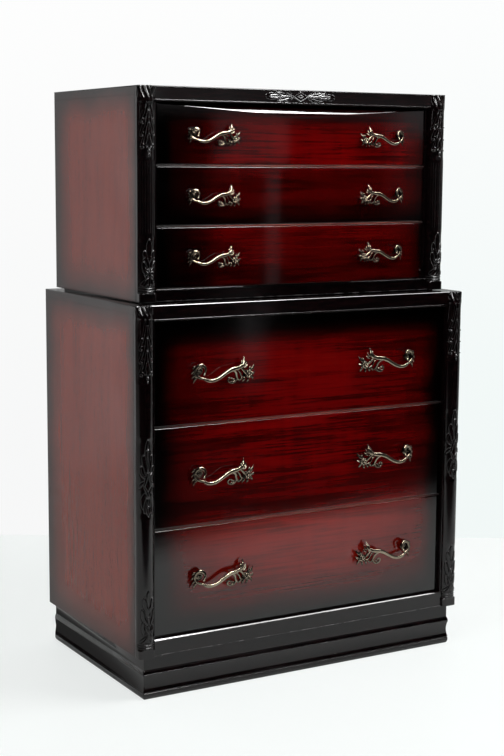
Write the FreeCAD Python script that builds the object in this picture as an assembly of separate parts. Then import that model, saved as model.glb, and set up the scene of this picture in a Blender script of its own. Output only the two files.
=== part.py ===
import FreeCAD, Part
import math
import os

# Chest on chest. Millimetres, +Z up, fronts facing -Y, origin on the floor under the middle of the
# whole object, crowns of the lower columns included.

# ---- plinth ----
plinth_height = 103.0
plinth_side_inset = 14.5          # from the lower case's side to the moulding's crest
plinth_front_inset = 4.0          # from the lower case's front to the moulding's crest
plinth_board = 22.0               # board thickness behind the crest
fascia_step = 3.5                 # fascia and hollow lie this far behind the crest
fascia_foot_z = 70.0
crest_z = 58.0
hollow_z = 37.0
toe_groove_z = 15.5
toe_groove_depth = 2.0
toe_groove_half = 1.2
toe_crest_z = 9.0
toe_round = 3.0
crest_bulge = 0.8
glue_block = 34.0
glue_block_gap = 6.0              # glue blocks end this far above the floor

# ---- lower case ----
lower_width = 914.0
lower_depth = 527.0
lower_bottom_rail = 39.0
lower_top_rail = 36.0
lower_openings = (253.5, 237.0, 245.5)    # drawer openings, bottom to top
lower_stile_strip = 2.6           # strip between a column and the drawer opening
lower_stile_recess = 3.0
lower_drawer_recess = 15.0
lower_travel = 340.0

# ---- upper case ----
upper_width = 854.0
upper_setback = 49.5              # from the lower case's front to the upper case's front
upper_bottom_rail = 28.5
upper_top_rail = 34.0
upper_openings = (140.5, 135.0, 142.0)    # drawer openings, bottom to top
upper_stile_strip = 8.6
upper_stile_recess = 14.0         # flush with the ends of the bowed fronts
upper_drawer_recess = 14.0        # at the ends of the bowed fronts
upper_bow = 18.0
upper_travel = 300.0
roll_height = 24.5                # rolled top edge of the top drawer's front
roll_depth = 37.0
roll_mid_depth = 9.0
roll_mid_height = 8.5

# ---- joinery shared by both cases ----
side_board = 20.0
top_board = 20.0
bottom_board = 20.0
back_board = 8.0
column_width = 42.4
column_depth = 18.0               # from the case's front back to the case boards
column_flank = 8.2                # a column's half round starts this far behind the case's front
column_crown = 13.0               # and its crown stands this far before it
shaft_set_in = 1.0                # the shaft lies this far inside its cap and neck rings
neck_block = 21.0                 # height of the plain block at a column's foot
neck_block_proud = 8.0            # the block's face stands this far before the case's front
neck_block_round = 8.0
neck_gap = 3.0                    # from the block up to the lower neck ring
neck_ring = 3.0
neck_ring_pitch = 6.0
stile_depth = 25.0
rail_recess = 1.5
rail_bead = 3.5
blade = 3.5                       # thin divider edge seen between two drawer fronts
blade_recess = 1.0
divider_depth = 57.0
runner_step = 7.0                 # runner top above the foot of a drawer opening
guide_height = 20.0
runner_spare = 2.0
kicker_gap = 3.0
stop_height = 5.0
stop_length = 18.0
stop_width = 30.0
stop_x = 150.0
stop_gap = 0.3
bearer = 3.0
bearer_inset = 15.0
bearer_width = 25.0
dowel_radius = 5.0
dowel_depth = 14.0
dowel_inset_x = 60.0
dowel_inset_y = 60.0
dowel_clearance = 0.2

# ---- drawers ----
front_board = 22.0
front_gap = 1.0                   # above and below a drawer front
side_gap = 1.5                    # at each end of a drawer front
drawer_side = 12.0
drawer_back = 12.0
drawer_bottom = 6.0
bottom_lift = 8.0                 # from the lower edge of the drawer sides to the bottom panel
groove = 5.0
seat_gap = 0.3                    # between the drawer sides and their runners
side_drop = 12.0                  # drawer sides end this far under the opening's head
back_drop = 6.0
rear_gap = 10.0
tail_length = 14.0                # dovetails of the drawer sides into the drawer fronts
tail_root = 16.0
tail_flare = 3.0
tail_pitch = 38.0
tail_margin = 12.0

# ---- pulls (lower size; the upper ones are the same casting in a smaller size) ----
# Points are (towards the case's middle, up) from the casting's middle; ranges are proud of the face.
pull_reach = 25.0
upper_pull_size = 0.8
lower_pull_x = 233.0              # middle of a pull from the case's centre line
upper_pull_x = 236.0
lower_pull_drops = (-3.0, -0.5, 2.5)      # pulls below the middle of each opening, bottom to top
upper_pull_drops = (0.5, 1.5, 3.5)
stem_radius = 5.5
stem_head = 12.0
scroll_at = (-63.0, 6.0)
scroll_radius = 12.5
scroll_range = (5.0, 21.0)
cluster_at = (64.0, -13.0)
bar_radius = 4.3
bar_start = (-66.0, -9.0)
bar_heading = -40.0
bar_steps = ((40.0, 40.0), (0.0, 5.0), (45.0, 32.0), (0.0, 16.0), (52.0, -32.0), (0.0, 4.0),
             (20.0, 60.0))         # (bend radius, degrees), or (0, length) for a straight
curl_radius = 3.5
curl_points = ((20.0, 3.0, 18.5), (33.0, -7.0, 15.0), (37.0, -16.0, 12.0), (33.0, -25.0, 11.0),
               (23.0, -29.0, 11.0), (14.0, -22.0, 11.0))
cluster_outline = ((46.0, -9.0), (43.0, -20.0), (45.0, -28.0), (56.0, -25.0), (66.0, -28.0),
                   (77.0, -26.0), (82.0, -14.0), (85.0, 6.0), (74.0, -2.0), (58.0, 2.0))
cluster_range = (4.0, 14.0)
flame_outline = ((44.0, 4.0), (49.0, 14.0), (48.0, 23.0), (51.0, 31.0), (58.0, 24.0), (60.0, 12.0),
                 (57.0, -4.0))
flame_range = (4.0, 19.0)
drop_outline = ((-68.0, 17.0), (-78.0, 15.0), (-84.0, 4.0), (-83.0, -12.0), (-81.0, -25.0),
                (-74.0, -14.0), (-68.0, -2.0))
drop_range = (4.0, 12.0)
casting_bevel = 1.2

# ---- pull screws ----
screw_radius = 2.0
screw_hole = 2.5
screw_head_radius = 4.5
screw_head = 3.0
screw_grip = 8.0
screw_end_gap = 0.3
cut_spare = 1.0                   # how far a cutting shape stands past what it cuts

# ---- worked out from the sizes above ----
front_overhang = max(column_crown, pull_reach - lower_drawer_recess)
y_front = front_overhang - (lower_depth + front_overhang) / 2.0
y_back = y_front + lower_depth
lower_blades = blade * (len(lower_openings) - 1)
upper_blades = blade * (len(upper_openings) - 1)
lower_height = lower_bottom_rail + sum(lower_openings) + lower_blades + lower_top_rail
upper_height = upper_bottom_rail + sum(upper_openings) + upper_blades + upper_top_rail
lower_top_z = plinth_height + lower_height
upper_bottom_z = lower_top_z + bearer
level_names = ("bottom", "middle", "top")

# The sizes that the pieces of one case share.
lower = {"name": "lower", "half": lower_width / 2.0, "front": y_front, "floor": plinth_height,
         "head": lower_top_z, "open": lower_width / 2.0 - column_width - lower_stile_strip,
         "stile_recess": lower_stile_recess,
         "foot_rail": lower_bottom_rail, "head_rail": lower_top_rail, "openings": lower_openings,
         "recess": lower_drawer_recess, "bow": 0.0, "pull_x": lower_pull_x, "pull_size": 1.0,
         "pull_drops": lower_pull_drops}
upper = {"name": "upper", "half": upper_width / 2.0, "front": y_front + upper_setback,
         "floor": upper_bottom_z, "head": upper_bottom_z + upper_height,
         "open": upper_width / 2.0 - column_width - upper_stile_strip,
         "stile_recess": upper_stile_recess,
         "foot_rail": upper_bottom_rail, "head_rail": upper_top_rail, "openings": upper_openings,
         "recess": upper_drawer_recess, "bow": upper_bow, "pull_x": upper_pull_x,
         "pull_size": upper_pull_size, "pull_drops": upper_pull_drops}
cases = (lower, upper)


def vec(x, y, z):
    return FreeCAD.Vector(x, y, z)


def box(x0, x1, y0, y1, z0, z1):
    return Part.makeBox(x1 - x0, y1 - y0, z1 - z0, vec(x0, y0, z0))


def mirrored(shape):
    """The same piece on the other side of the centre line."""
    return shape.mirror(vec(0, 0, 0), vec(1, 0, 0))


def pair(shape):
    return [shape, mirrored(shape)]


def joined(shapes):
    return shapes[0].fuse(shapes[1:]).removeSplitter()


def rod_y(radius, x, z, y0, y1):
    return Part.makeCylinder(radius, y1 - y0, vec(x, y0, z), vec(0, 1, 0))


def rod_z(radius, x, y, z0, z1):
    return Part.makeCylinder(radius, z1 - z0, vec(x, y, z0), vec(0, 0, 1))


def cells(case):
    """Foot, head and height of the pulls of each drawer opening, bottom to top."""
    result = []
    foot = case["floor"] + case["foot_rail"]
    for opening, drop in zip(case["openings"], case["pull_drops"]):
        result.append((foot, foot + opening, foot + opening / 2.0 - drop))
        foot = foot + opening + blade
    return result


def column_y(case):
    return case["front"] + column_depth


def stile_y(case):
    return column_y(case) + stile_depth


def panel_y():
    return y_back - back_board


def front_end_y(case):
    """Plane of a drawer front's face at its two ends."""
    return case["front"] + case["recess"]


def front_rear_y(case):
    return front_end_y(case) + front_board


def divider_y(case):
    return front_rear_y(case) + stop_gap


def face_y(case, x):
    """Plane of a drawer front's face at x, on the bow's circle."""
    bow = case["bow"]
    if bow == 0:
        return front_end_y(case)
    half = case["open"] - side_gap
    radius = (half * half + bow * bow) / (2.0 * bow)
    return front_end_y(case) - bow + radius - math.sqrt(radius * radius - x * x)


def bowed_slab(case, half, set_in, y_rear, z0, z1):
    """A slab with a flat back and the bowed face of the drawer fronts, moved back by set_in."""
    ends = face_y(case, half) + set_in
    middle = face_y(case, 0.0) + set_in
    if case["bow"] == 0:
        return box(-half, half, ends, y_rear, z0, z1)
    left, right = vec(-half, ends, z0), vec(half, ends, z0)
    rear_right, rear_left = vec(half, y_rear, z0), vec(-half, y_rear, z0)
    edges = [Part.Arc(left, vec(0, middle, z0), right).toShape(),
             Part.makeLine(right, rear_right),
             Part.makeLine(rear_right, rear_left),
             Part.makeLine(rear_left, left)]
    return Part.Face(Part.Wire(edges)).extrude(vec(0, 0, z1 - z0))


# ---- case boards ----
def dowel_places(case_above):
    x = case_above["half"] - dowel_inset_x
    return [(sx * x, y) for sx in (-1, 1)
            for y in (stile_y(case_above) + dowel_inset_y, y_back - dowel_inset_y)]


def side_boards(case):
    board = box(case["half"] - side_board, case["half"], column_y(case), y_back,
                case["floor"], case["head"] - top_board)
    return pair(board)


def top_panel(case):
    panel = box(-case["half"], case["half"], column_y(case), y_back,
                case["head"] - top_board, case["head"])
    if case is upper:
        return panel
    holes = [rod_z(dowel_radius + dowel_clearance, x, y, case["head"] - dowel_depth, case["head"])
             for x, y in dowel_places(upper)]
    return panel.cut(Part.makeCompound(holes))


def bottom_panel(case):
    inside = case["half"] - side_board
    panel = box(-inside, inside, column_y(case), panel_y(), case["floor"],
                case["floor"] + bottom_board)
    if case is lower:
        return panel
    holes = [rod_z(dowel_radius + dowel_clearance, x, y, case["floor"], case["floor"] + dowel_depth)
             for x, y in dowel_places(upper)]
    return panel.cut(Part.makeCompound(holes))


def back_panel(case):
    inside = case["half"] - side_board
    return box(-inside, inside, panel_y(), y_back, case["floor"], case["head"] - top_board)


# ---- face frame ----
def column_section(case, set_in, z):
    """Half-round section: flat back, straight flanks and an arched front that is moved in by set_in."""
    inner, outer = case["half"] - column_width, case["half"]
    middle = (inner + outer) / 2.0
    back = column_y(case)
    flank, crown = case["front"] + column_flank + set_in, case["front"] - column_crown + set_in
    edges = [Part.makeLine(vec(inner, back, z), vec(outer, back, z)),
             Part.makeLine(vec(outer, back, z), vec(outer, flank, z)),
             Part.Arc(vec(outer, flank, z), vec(middle, crown, z), vec(inner, flank, z)).toShape(),
             Part.makeLine(vec(inner, flank, z), vec(inner, back, z))]
    return Part.Face(Part.Wire(edges))


def column_block(case, z1):
    """The block under a column's neck, with its two upright front edges rounded."""
    face = case["front"] - neck_block_proud
    block = box(case["half"] - column_width, case["half"], face, column_y(case), case["floor"], z1)
    uprights = [edge for edge in block.Edges
                if edge.BoundBox.YMax < case["front"] and edge.BoundBox.XLength < neck_block_round]
    return block.makeFillet(neck_block_round, uprights)


def corner_columns(case):
    foot = case["floor"] + neck_block
    head = case["head"] - case["head_rail"]
    shaft = column_section(case, shaft_set_in, foot).extrude(vec(0, 0, head - foot))
    cap = column_section(case, 0.0, head).extrude(vec(0, 0, case["head"] - head))
    solids = [column_block(case, foot), shaft, cap]
    for ring in range(2):
        collar = column_section(case, 0.0, foot + neck_gap + ring * neck_ring_pitch)
        solids.append(collar.extrude(vec(0, 0, neck_ring)))
    return pair(joined(solids))


def corner_stiles(case):
    body = box(case["open"], case["half"] - side_board, column_y(case), stile_y(case),
               case["floor"] + bottom_board, case["head"] - top_board)
    lip = box(case["open"], case["half"] - column_width, case["front"] + case["stile_recess"],
              column_y(case), case["floor"] + case["foot_rail"], case["head"] - case["head_rail"])
    return pair(joined([body, lip]))


def rail(case, z0, z1, bead_z0):
    reach = case["half"] - column_width
    board = box(-reach, reach, case["front"] + rail_recess, column_y(case), z0, z1)
    bead = box(-reach, reach, case["front"], column_y(case), bead_z0, bead_z0 + rail_bead)
    return joined([board, bead])


def top_rail(case):
    foot = case["head"] - case["head_rail"]
    return rail(case, foot, case["head"], foot)


def bottom_rail(case):
    head = case["floor"] + case["foot_rail"]
    return rail(case, case["floor"], head, head - rail_bead)


def dividers(case):
    """A rail across the case between two drawers, with the thin blade that shows."""
    inside = case["half"] - side_board
    y0 = divider_y(case)
    solids = []
    for foot, head, pull_z in cells(case)[:-1]:
        z0, z1 = head - runner_step, head + blade + runner_step
        nose = bowed_slab(case, case["open"], blade_recess, y0, head, head + blade)
        body = box(-case["open"], case["open"], y0, stile_y(case), z0, z1)
        ears = box(-inside, inside, stile_y(case), y0 + divider_depth, z0, z1)
        solids.append(joined([nose, body, ears]))
    return solids


def runners(case):
    """L-shaped strips that carry and guide the drawers, and kickers over the top drawer."""
    inside = case["half"] - side_board
    tip = case["open"] - side_gap - drawer_side - runner_spare
    solids = []
    for level, (foot, head, pull_z) in enumerate(cells(case)):
        on_divider = level > 0
        y0 = divider_y(case) + divider_depth if on_divider else stile_y(case)
        z0 = foot - blade - runner_step if on_divider else case["floor"] + bottom_board
        z1 = foot + runner_step
        base = box(tip, inside, y0, panel_y(), z0, z1)
        guide = box(case["open"], inside, y0, panel_y(), z1, z1 + guide_height)
        solids += pair(joined([base, guide]))
    kicker = box(tip, inside, stile_y(case), panel_y(), box_head(cells(case)[-1]) + kicker_gap,
                 case["head"] - top_board)
    return solids + pair(kicker)


def stops(case):
    """Blocks behind the drawer fronts that set how far the drawers close."""
    y0 = divider_y(case)
    solids = []
    for level, (foot, head, pull_z) in enumerate(cells(case)):
        z0 = foot + runner_step if level > 0 else case["floor"] + bottom_board
        block = box(stop_x, stop_x + stop_width, y0, y0 + stop_length, z0,
                    foot + runner_step + stop_height)
        solids += pair(block)
    return solids


# ---- between the cases ----
def case_bearers():
    z0, z1 = lower_top_z, upper_bottom_z
    reach = upper["half"] - bearer_inset
    y0 = upper["front"] + bearer_inset
    front_strip = box(-reach, reach, y0, y0 + bearer_width, z0, z1)
    side_strip = box(reach - bearer_width, reach, y0 + bearer_width, y_back - bearer_inset, z0, z1)
    return [front_strip] + pair(side_strip)


def locating_dowels():
    return [rod_z(dowel_radius, x, y, lower_top_z - dowel_depth, upper_bottom_z + dowel_depth)
            for x, y in dowel_places(upper)]


# ---- plinth ----
def flat_edge(a, b):
    """Straight edge between two (y, z) points of the moulding's section."""
    return Part.makeLine(vec(0, a[0], a[1]), vec(0, b[0], b[1]))


def bulged_edge(a, b, bulge):
    """Arc between two (y, z) points whose middle swells forward by bulge, or back if negative."""
    middle = vec(0, (a[0] + b[0]) / 2.0 - bulge, (a[1] + b[1]) / 2.0)
    return Part.Arc(vec(0, a[0], a[1]), middle, vec(0, b[0], b[1])).toShape()


def plinth_profile():
    """The moulding's section as a face in the YZ plane, crest at y = 0, board behind it."""
    top = (fascia_step, plinth_height)
    fascia_foot = (fascia_step, fascia_foot_z)
    crest = (0.0, crest_z)
    hollow = (fascia_step, hollow_z)
    groove_top = (0.0, toe_groove_z + toe_groove_half)
    groove_floor = (toe_groove_depth, toe_groove_z)
    groove_foot = (0.0, toe_groove_z - toe_groove_half)
    toe_crest = (0.0, toe_crest_z)
    toe_foot = (toe_round, 0.0)
    edges = [flat_edge(top, fascia_foot),
             bulged_edge(fascia_foot, crest, crest_bulge),
             bulged_edge(crest, hollow, -crest_bulge),
             bulged_edge(hollow, groove_top, -crest_bulge),
             flat_edge(groove_top, groove_floor),
             flat_edge(groove_floor, groove_foot),
             flat_edge(groove_foot, toe_crest),
             bulged_edge(toe_crest, toe_foot, crest_bulge),
             flat_edge(toe_foot, (plinth_board, 0.0)),
             flat_edge((plinth_board, 0.0), (plinth_board, plinth_height)),
             flat_edge((plinth_board, plinth_height), top)]
    return Part.Face(Part.Wire(edges))


def plinth_pieces():
    """Front and side mouldings, mitred at the front corners, and a plain board at the back."""
    half = lower["half"] - plinth_side_inset
    y0 = lower["front"] + plinth_front_inset
    over = plinth_board + cut_spare
    front = plinth_profile()
    front.translate(vec(-half, y0, 0))
    front = front.extrude(vec(2.0 * half, 0, 0))
    side = plinth_profile()
    side.rotate(vec(0, 0, 0), vec(0, 0, 1), 90.0)
    side.translate(vec(half, y0, 0))
    side = side.extrude(vec(0, y_back - y0, 0))
    corners = ((half + over, y0 - over), (half + over, y_back + over), (half - over, y_back + over),
               (half - over, y0 + over), (half + over, y0 - over))
    wire = Part.makePolygon([vec(x, y, -cut_spare) for x, y in corners])
    outside = Part.Face(wire).extrude(vec(0, 0, plinth_height + 2.0 * cut_spare))
    front = front.cut(Part.makeCompound(pair(outside)))
    side = side.common(outside)
    inner = half - plinth_board
    back = box(-inner, inner, y_back - plinth_board, y_back, 0.0, plinth_height)
    return front, pair(side), back


def glue_blocks():
    """Blocks that tie the plinth's corners and its front to the bottom board."""
    inner = lower["half"] - plinth_side_inset - plinth_board
    y0 = lower["front"] + plinth_front_inset + plinth_board
    y1 = y_back - plinth_board
    corner = [box(inner - glue_block, inner, y, y + glue_block, glue_block_gap, plinth_height)
              for y in (y0, y1 - glue_block)]
    middle = box(-glue_block / 2.0, glue_block / 2.0, y0, y0 + glue_block, glue_block_gap,
                 plinth_height)
    return corner + [mirrored(block) for block in corner] + [middle]


# ---- drawers ----
def box_foot(cell):
    return cell[0] + runner_step + seat_gap


def box_head(cell):
    return cell[1] - side_drop


def box_rear():
    return panel_y() - rear_gap


def rolled_edge(case, head):
    """Everything in front of and under the rolled top edge, as one extrusion across the case."""
    y0 = face_y(case, 0.0)
    start = vec(-case["half"], y0, head - roll_height)
    middle = vec(-case["half"], y0 + roll_mid_depth, head - roll_height + roll_mid_height)
    end = vec(-case["half"], y0 + roll_depth, head)
    low = case["floor"]
    rear = front_rear_y(case)
    corners = [end, vec(end.x, rear, head), vec(end.x, rear, low), vec(end.x, y0, low), start]
    edges = [Part.Arc(start, middle, end).toShape()]
    edges += [Part.makeLine(a, b) for a, b in zip(corners[:-1], corners[1:])]
    return Part.Face(Part.Wire(edges)).extrude(vec(2.0 * case["half"], 0, 0))


def plain_front(case, cell, rolled):
    half = case["open"] - side_gap
    head = cell[1] - front_gap
    slab = bowed_slab(case, half, 0.0, front_rear_y(case), cell[0] + front_gap, head)
    return slab.common(rolled_edge(case, head)) if rolled else slab


def bottom_slab(case, cell):
    half = case["open"] - side_gap - drawer_side + groove
    z0 = box_foot(cell) + bottom_lift
    return box(-half, half, front_rear_y(case) - groove, box_rear(), z0, z0 + drawer_bottom)


def dovetails(case, cell):
    """The tails at the front end of the right-hand drawer side, as many as its height holds."""
    outer = case["open"] - side_gap
    root_y, end_y = front_rear_y(case), front_rear_y(case) - tail_length
    first = box_foot(cell) + bottom_lift + drawer_bottom + tail_margin
    room = box_head(cell) - tail_margin - tail_root - first
    solids = []
    for index in range(int(room // tail_pitch) + 1):
        z0 = first + index * tail_pitch
        z1 = z0 + tail_root
        corners = ((root_y, z0), (end_y, z0 - tail_flare), (end_y, z1 + tail_flare), (root_y, z1),
                   (root_y, z0))
        wire = Part.makePolygon([vec(outer - drawer_side, y, z) for y, z in corners])
        solids.append(Part.Face(wire).extrude(vec(drawer_side, 0, 0)))
    return solids


def drawer_front(case, cell, rolled):
    holes = [rod_y(screw_hole, x, z, face_y(case, 0.0) - cut_spare, front_rear_y(case) + cut_spare)
             for x, z in screw_places(case, cell)]
    sockets = dovetails(case, cell) + [mirrored(tail) for tail in dovetails(case, cell)]
    cuts = holes + sockets + [bottom_slab(case, cell)]
    return plain_front(case, cell, rolled).cut(cuts)


def drawer_sides(case, cell):
    outer = case["open"] - side_gap
    board = box(outer - drawer_side, outer, front_rear_y(case), box_rear(), box_foot(cell),
                box_head(cell))
    return pair(joined([board.cut(bottom_slab(case, cell))] + dovetails(case, cell)))


def drawer_back_board(case, cell):
    half = case["open"] - side_gap - drawer_side
    return box(-half, half, box_rear() - drawer_back, box_rear(),
               box_foot(cell) + bottom_lift + drawer_bottom, box_head(cell) - back_drop)


# ---- pulls ----
def pull_slope(case):
    """How far the face turns back at the pull, in degrees."""
    rise = face_y(case, case["pull_x"] + cut_spare) - face_y(case, case["pull_x"] - cut_spare)
    return math.degrees(math.atan2(rise, 2.0 * cut_spare))


def screw_places(case, cell):
    """Axes of the four screws, through the middle of each stem's foot."""
    size, turn = case["pull_size"], math.radians(pull_slope(case))
    places = []
    for u, v in (scroll_at, cluster_at):
        x = case["pull_x"] - u * size * math.cos(turn)
        z = cell[2] + v * size
        places += [(-x, z), (x, z)]
    return places


def leaf(outline, span, size):
    """A flat leaf of the casting with a bevelled outer edge."""
    points = [vec(u * size, -span[0] * size, v * size) for u, v in outline]
    flat = Part.Face(Part.makePolygon(points + points[:1]))
    solid = flat.extrude(vec(0, (span[0] - span[1]) * size, 0))
    outer = [edge for edge in solid.Edges
             if edge.BoundBox.YMax < -span[1] * size + casting_bevel / 2.0]
    return solid.makeChamfer(casting_bevel * size, outer)


def grip_bar(size):
    """The S-shaped grip: round rods and parts of rings, each starting along the end of the last."""
    plane = -(pull_reach - bar_radius) * size
    radius = bar_radius * size
    point = vec(bar_start[0] * size, plane, bar_start[1] * size)
    heading = math.radians(bar_heading)
    solids = []
    for bend, step in bar_steps:
        along = vec(math.cos(heading), 0, math.sin(heading))
        if bend == 0:
            solids.append(Part.makeCylinder(radius, step * size, point, along))
            point = point + along * (step * size)
            continue
        side = 1.0 if step > 0 else -1.0
        centre = point + vec(-along.z, 0, along.x) * (side * bend * size)
        disc = Part.Face(Part.Wire([Part.makeCircle(radius, point, along)]))
        solids.append(disc.revolve(centre, vec(0, -1, 0), step))
        heading += math.radians(step)
        across = vec(-math.sin(heading), 0, math.cos(heading))
        point = centre - across * (side * bend * size)
    return solids


def curl(size):
    """The side branch: round beads joined by straight rods."""
    radius = curl_radius * size
    points = [vec(u * size, -w * size, v * size) for u, v, w in curl_points]
    beads = [Part.makeSphere(radius, point) for point in points]
    rods = [Part.makeCylinder(radius, (b - a).Length, a, b - a)
            for a, b in zip(points[:-1], points[1:])]
    return beads + rods


def casting(size):
    """One pull in its own frame: face of the drawer at y = 0, scroll end on the -X side."""
    sink = 2.0 * stem_radius
    stems = [rod_y(stem_radius * size, u * size, v * size, -stem_head * size, sink * size)
             for u, v in (scroll_at, cluster_at)]
    scroll = rod_y(scroll_radius * size, scroll_at[0] * size, scroll_at[1] * size,
                   -scroll_range[1] * size, -scroll_range[0] * size)
    rims = [edge for edge in scroll.Edges if edge.BoundBox.YLength < casting_bevel]
    scroll = scroll.makeFillet(2.0 * casting_bevel * size, rims)
    leaves = [leaf(cluster_outline, cluster_range, size), leaf(flame_outline, flame_range, size),
              leaf(drop_outline, drop_range, size)]
    return joined(stems + [scroll] + grip_bar(size) + leaves + curl(size))


castings = {case["name"]: casting(case["pull_size"]) for case in cases}


def pulls(case, cell, rolled):
    pull = castings[case["name"]].copy()
    pull.rotate(vec(0, 0, 0), vec(0, 0, 1), -pull_slope(case))
    pull.translate(vec(-case["pull_x"], face_y(case, case["pull_x"]), cell[2]))
    pull = pull.cut(plain_front(case, cell, rolled))
    bores = [rod_y(screw_hole, x, z, face_y(case, x) - screw_grip, front_rear_y(case))
             for x, z in screw_places(case, cell) if x < 0]
    return pair(pull.cut(Part.makeCompound(bores)))


def pull_screws(case, cell):
    solids = []
    for x, z in screw_places(case, cell):
        rear = front_rear_y(case)
        shank = rod_y(screw_radius, x, z, face_y(case, x) - screw_grip + screw_end_gap, rear)
        head = rod_y(screw_head_radius, x, z, rear, rear + screw_head)
        solids.append(joined([shank, head]))
    return solids


def write(name, shapes):
    solids = shapes if isinstance(shapes, list) else [shapes]
    shape = solids[0] if len(solids) == 1 else Part.makeCompound(solids)
    shape.exportStep("parts/" + name + ".step")


def main():
    os.makedirs("parts", exist_ok=True)
    for case in cases:
        name = case["name"]
        write(name + "_sides", side_boards(case))
        write(name + "_top_board", top_panel(case))
        write(name + "_bottom_board", bottom_panel(case))
        write(name + "_back_panel", back_panel(case))
        write(name + "_columns", corner_columns(case))
        write(name + "_top_rail", top_rail(case))
        write(name + "_bottom_rail", bottom_rail(case))
        for level, cell in enumerate(cells(case)):
            drawer = name + "_" + level_names[level] + "_drawer"
            rolled = case is upper and level_names[level] == "top"
            write(drawer + "_front", drawer_front(case, cell, rolled))
            write(drawer + "_sides", drawer_sides(case, cell))
            write(drawer + "_back", drawer_back_board(case, cell))
            write(drawer + "_bottom", bottom_slab(case, cell))
            write(drawer + "_pulls", pulls(case, cell, rolled))
            write(drawer + "_screws", pull_screws(case, cell))
    write("corner_stiles", corner_stiles(lower) + corner_stiles(upper))
    write("drawer_dividers", dividers(lower) + dividers(upper))
    write("drawer_runners", runners(lower) + runners(upper))
    write("drawer_stops", stops(lower) + stops(upper))
    write("case_bearers", case_bearers())
    write("locating_dowels", locating_dowels())
    front, sides, back = plinth_pieces()
    write("plinth_front", front)
    write("plinth_sides", sides)
    write("plinth_back", back)
    write("glue_blocks", glue_blocks())


main()
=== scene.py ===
import math

import bpy
import numpy as np
from mathutils import Matrix, Vector


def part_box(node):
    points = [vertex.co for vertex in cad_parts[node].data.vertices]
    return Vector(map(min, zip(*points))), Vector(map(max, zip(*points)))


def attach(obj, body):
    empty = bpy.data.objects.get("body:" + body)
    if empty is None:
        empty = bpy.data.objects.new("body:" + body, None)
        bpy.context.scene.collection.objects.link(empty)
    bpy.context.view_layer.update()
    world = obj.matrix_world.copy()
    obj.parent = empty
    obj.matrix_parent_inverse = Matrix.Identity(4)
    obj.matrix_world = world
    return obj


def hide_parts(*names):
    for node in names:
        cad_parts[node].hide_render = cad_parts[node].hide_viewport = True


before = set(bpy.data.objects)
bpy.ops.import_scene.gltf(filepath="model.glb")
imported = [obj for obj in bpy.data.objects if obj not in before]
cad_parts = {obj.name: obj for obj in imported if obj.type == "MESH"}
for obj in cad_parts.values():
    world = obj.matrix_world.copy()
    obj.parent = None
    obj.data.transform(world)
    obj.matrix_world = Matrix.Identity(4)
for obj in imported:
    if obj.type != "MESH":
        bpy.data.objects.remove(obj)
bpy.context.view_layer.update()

mm = 0.001
scene = bpy.context.scene
scene.view_settings.view_transform = "Standard"
cases = ("lower", "upper")
levels = ("bottom", "middle", "top")
drawers = [(case, level) for case in cases for level in levels]


# meshes
def gridQuads(rows, columns, closeRows=False, closeColumns=False):
    # quads between the neighbours of a grid of points; the last row or column joins the first where it closes
    r = np.arange(rows if closeRows else rows - 1)[:, None]
    c = np.arange(columns if closeColumns else columns - 1)[None, :]
    rNext, cNext = (r + 1) % rows, (c + 1) % columns
    corners = [r * columns + c, r * columns + cNext, rNext * columns + cNext, rNext * columns + c]
    return np.stack(corners, -1).reshape(-1, 4)


def gathered(parts):
    # several (points, quads) as one pair, each part's quads counted on from the points before it
    counts = np.cumsum([0] + [len(points) for points, quads in parts[:-1]])
    points = np.concatenate([points for points, quads in parts])
    return points, np.concatenate([quads + start for (_, quads), start in zip(parts, counts)])


def welded(points, quads, reach=0.004 * mm):
    # points that fall in the same cell of a very fine lattice become one point
    cells = np.round(points / reach).astype(np.int64)
    _, first, same = np.unique(cells, axis=0, return_index=True, return_inverse=True)
    return points[first], same.reshape(-1)[quads], first


def putPiece(name, parts, finishes, replaced=(), body="cabinet",
             finishOf=None, values=None):
    # One object from (points, quads) parts in millimetres, riding on a body and standing for CAD nodes.
    # finishOf gives each part's finish by number, values gives attributes with one value for each point.
    points, quads = gathered(parts)
    marks = np.zeros(len(quads), np.int32)
    if finishOf is not None:
        marks = np.repeat(np.array(finishOf, np.int32), [len(q) for p, q in parts])
    points, quads, first = welded(points * mm, quads)
    keep = quads != np.roll(quads, 1, axis=1)  # a quad with two corners in one place becomes a triangle
    sizes = keep.sum(1)
    good = sizes > 2
    loops = quads[good][keep[good]]
    mesh = bpy.data.meshes.new(name)
    mesh.vertices.add(len(points))
    mesh.vertices.foreach_set("co", points.astype(np.float32).ravel())
    mesh.loops.add(len(loops))
    mesh.loops.foreach_set("vertex_index", loops.astype(np.int32))
    mesh.polygons.add(int(good.sum()))
    mesh.polygons.foreach_set("loop_start", np.concatenate([[0], np.cumsum(sizes[good])[:-1]]).astype(np.int32))
    mesh.polygons.foreach_set("material_index", marks[good])
    mesh.polygons.foreach_set("use_smooth", np.ones(int(good.sum()), bool))
    for key, value in (values or {}).items():
        mesh.attributes.new(key, "FLOAT", "POINT").data.foreach_set("value", value[first].astype(np.float32))
    mesh.update(calc_edges=True)
    mesh.validate()
    piece = bpy.data.objects.new(name, mesh)
    scene.collection.objects.link(piece)
    for finish in finishes:
        mesh.materials.append(finish.material)
    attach(piece, body)
    if replaced:
        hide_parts(*replaced)
    return piece


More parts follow.
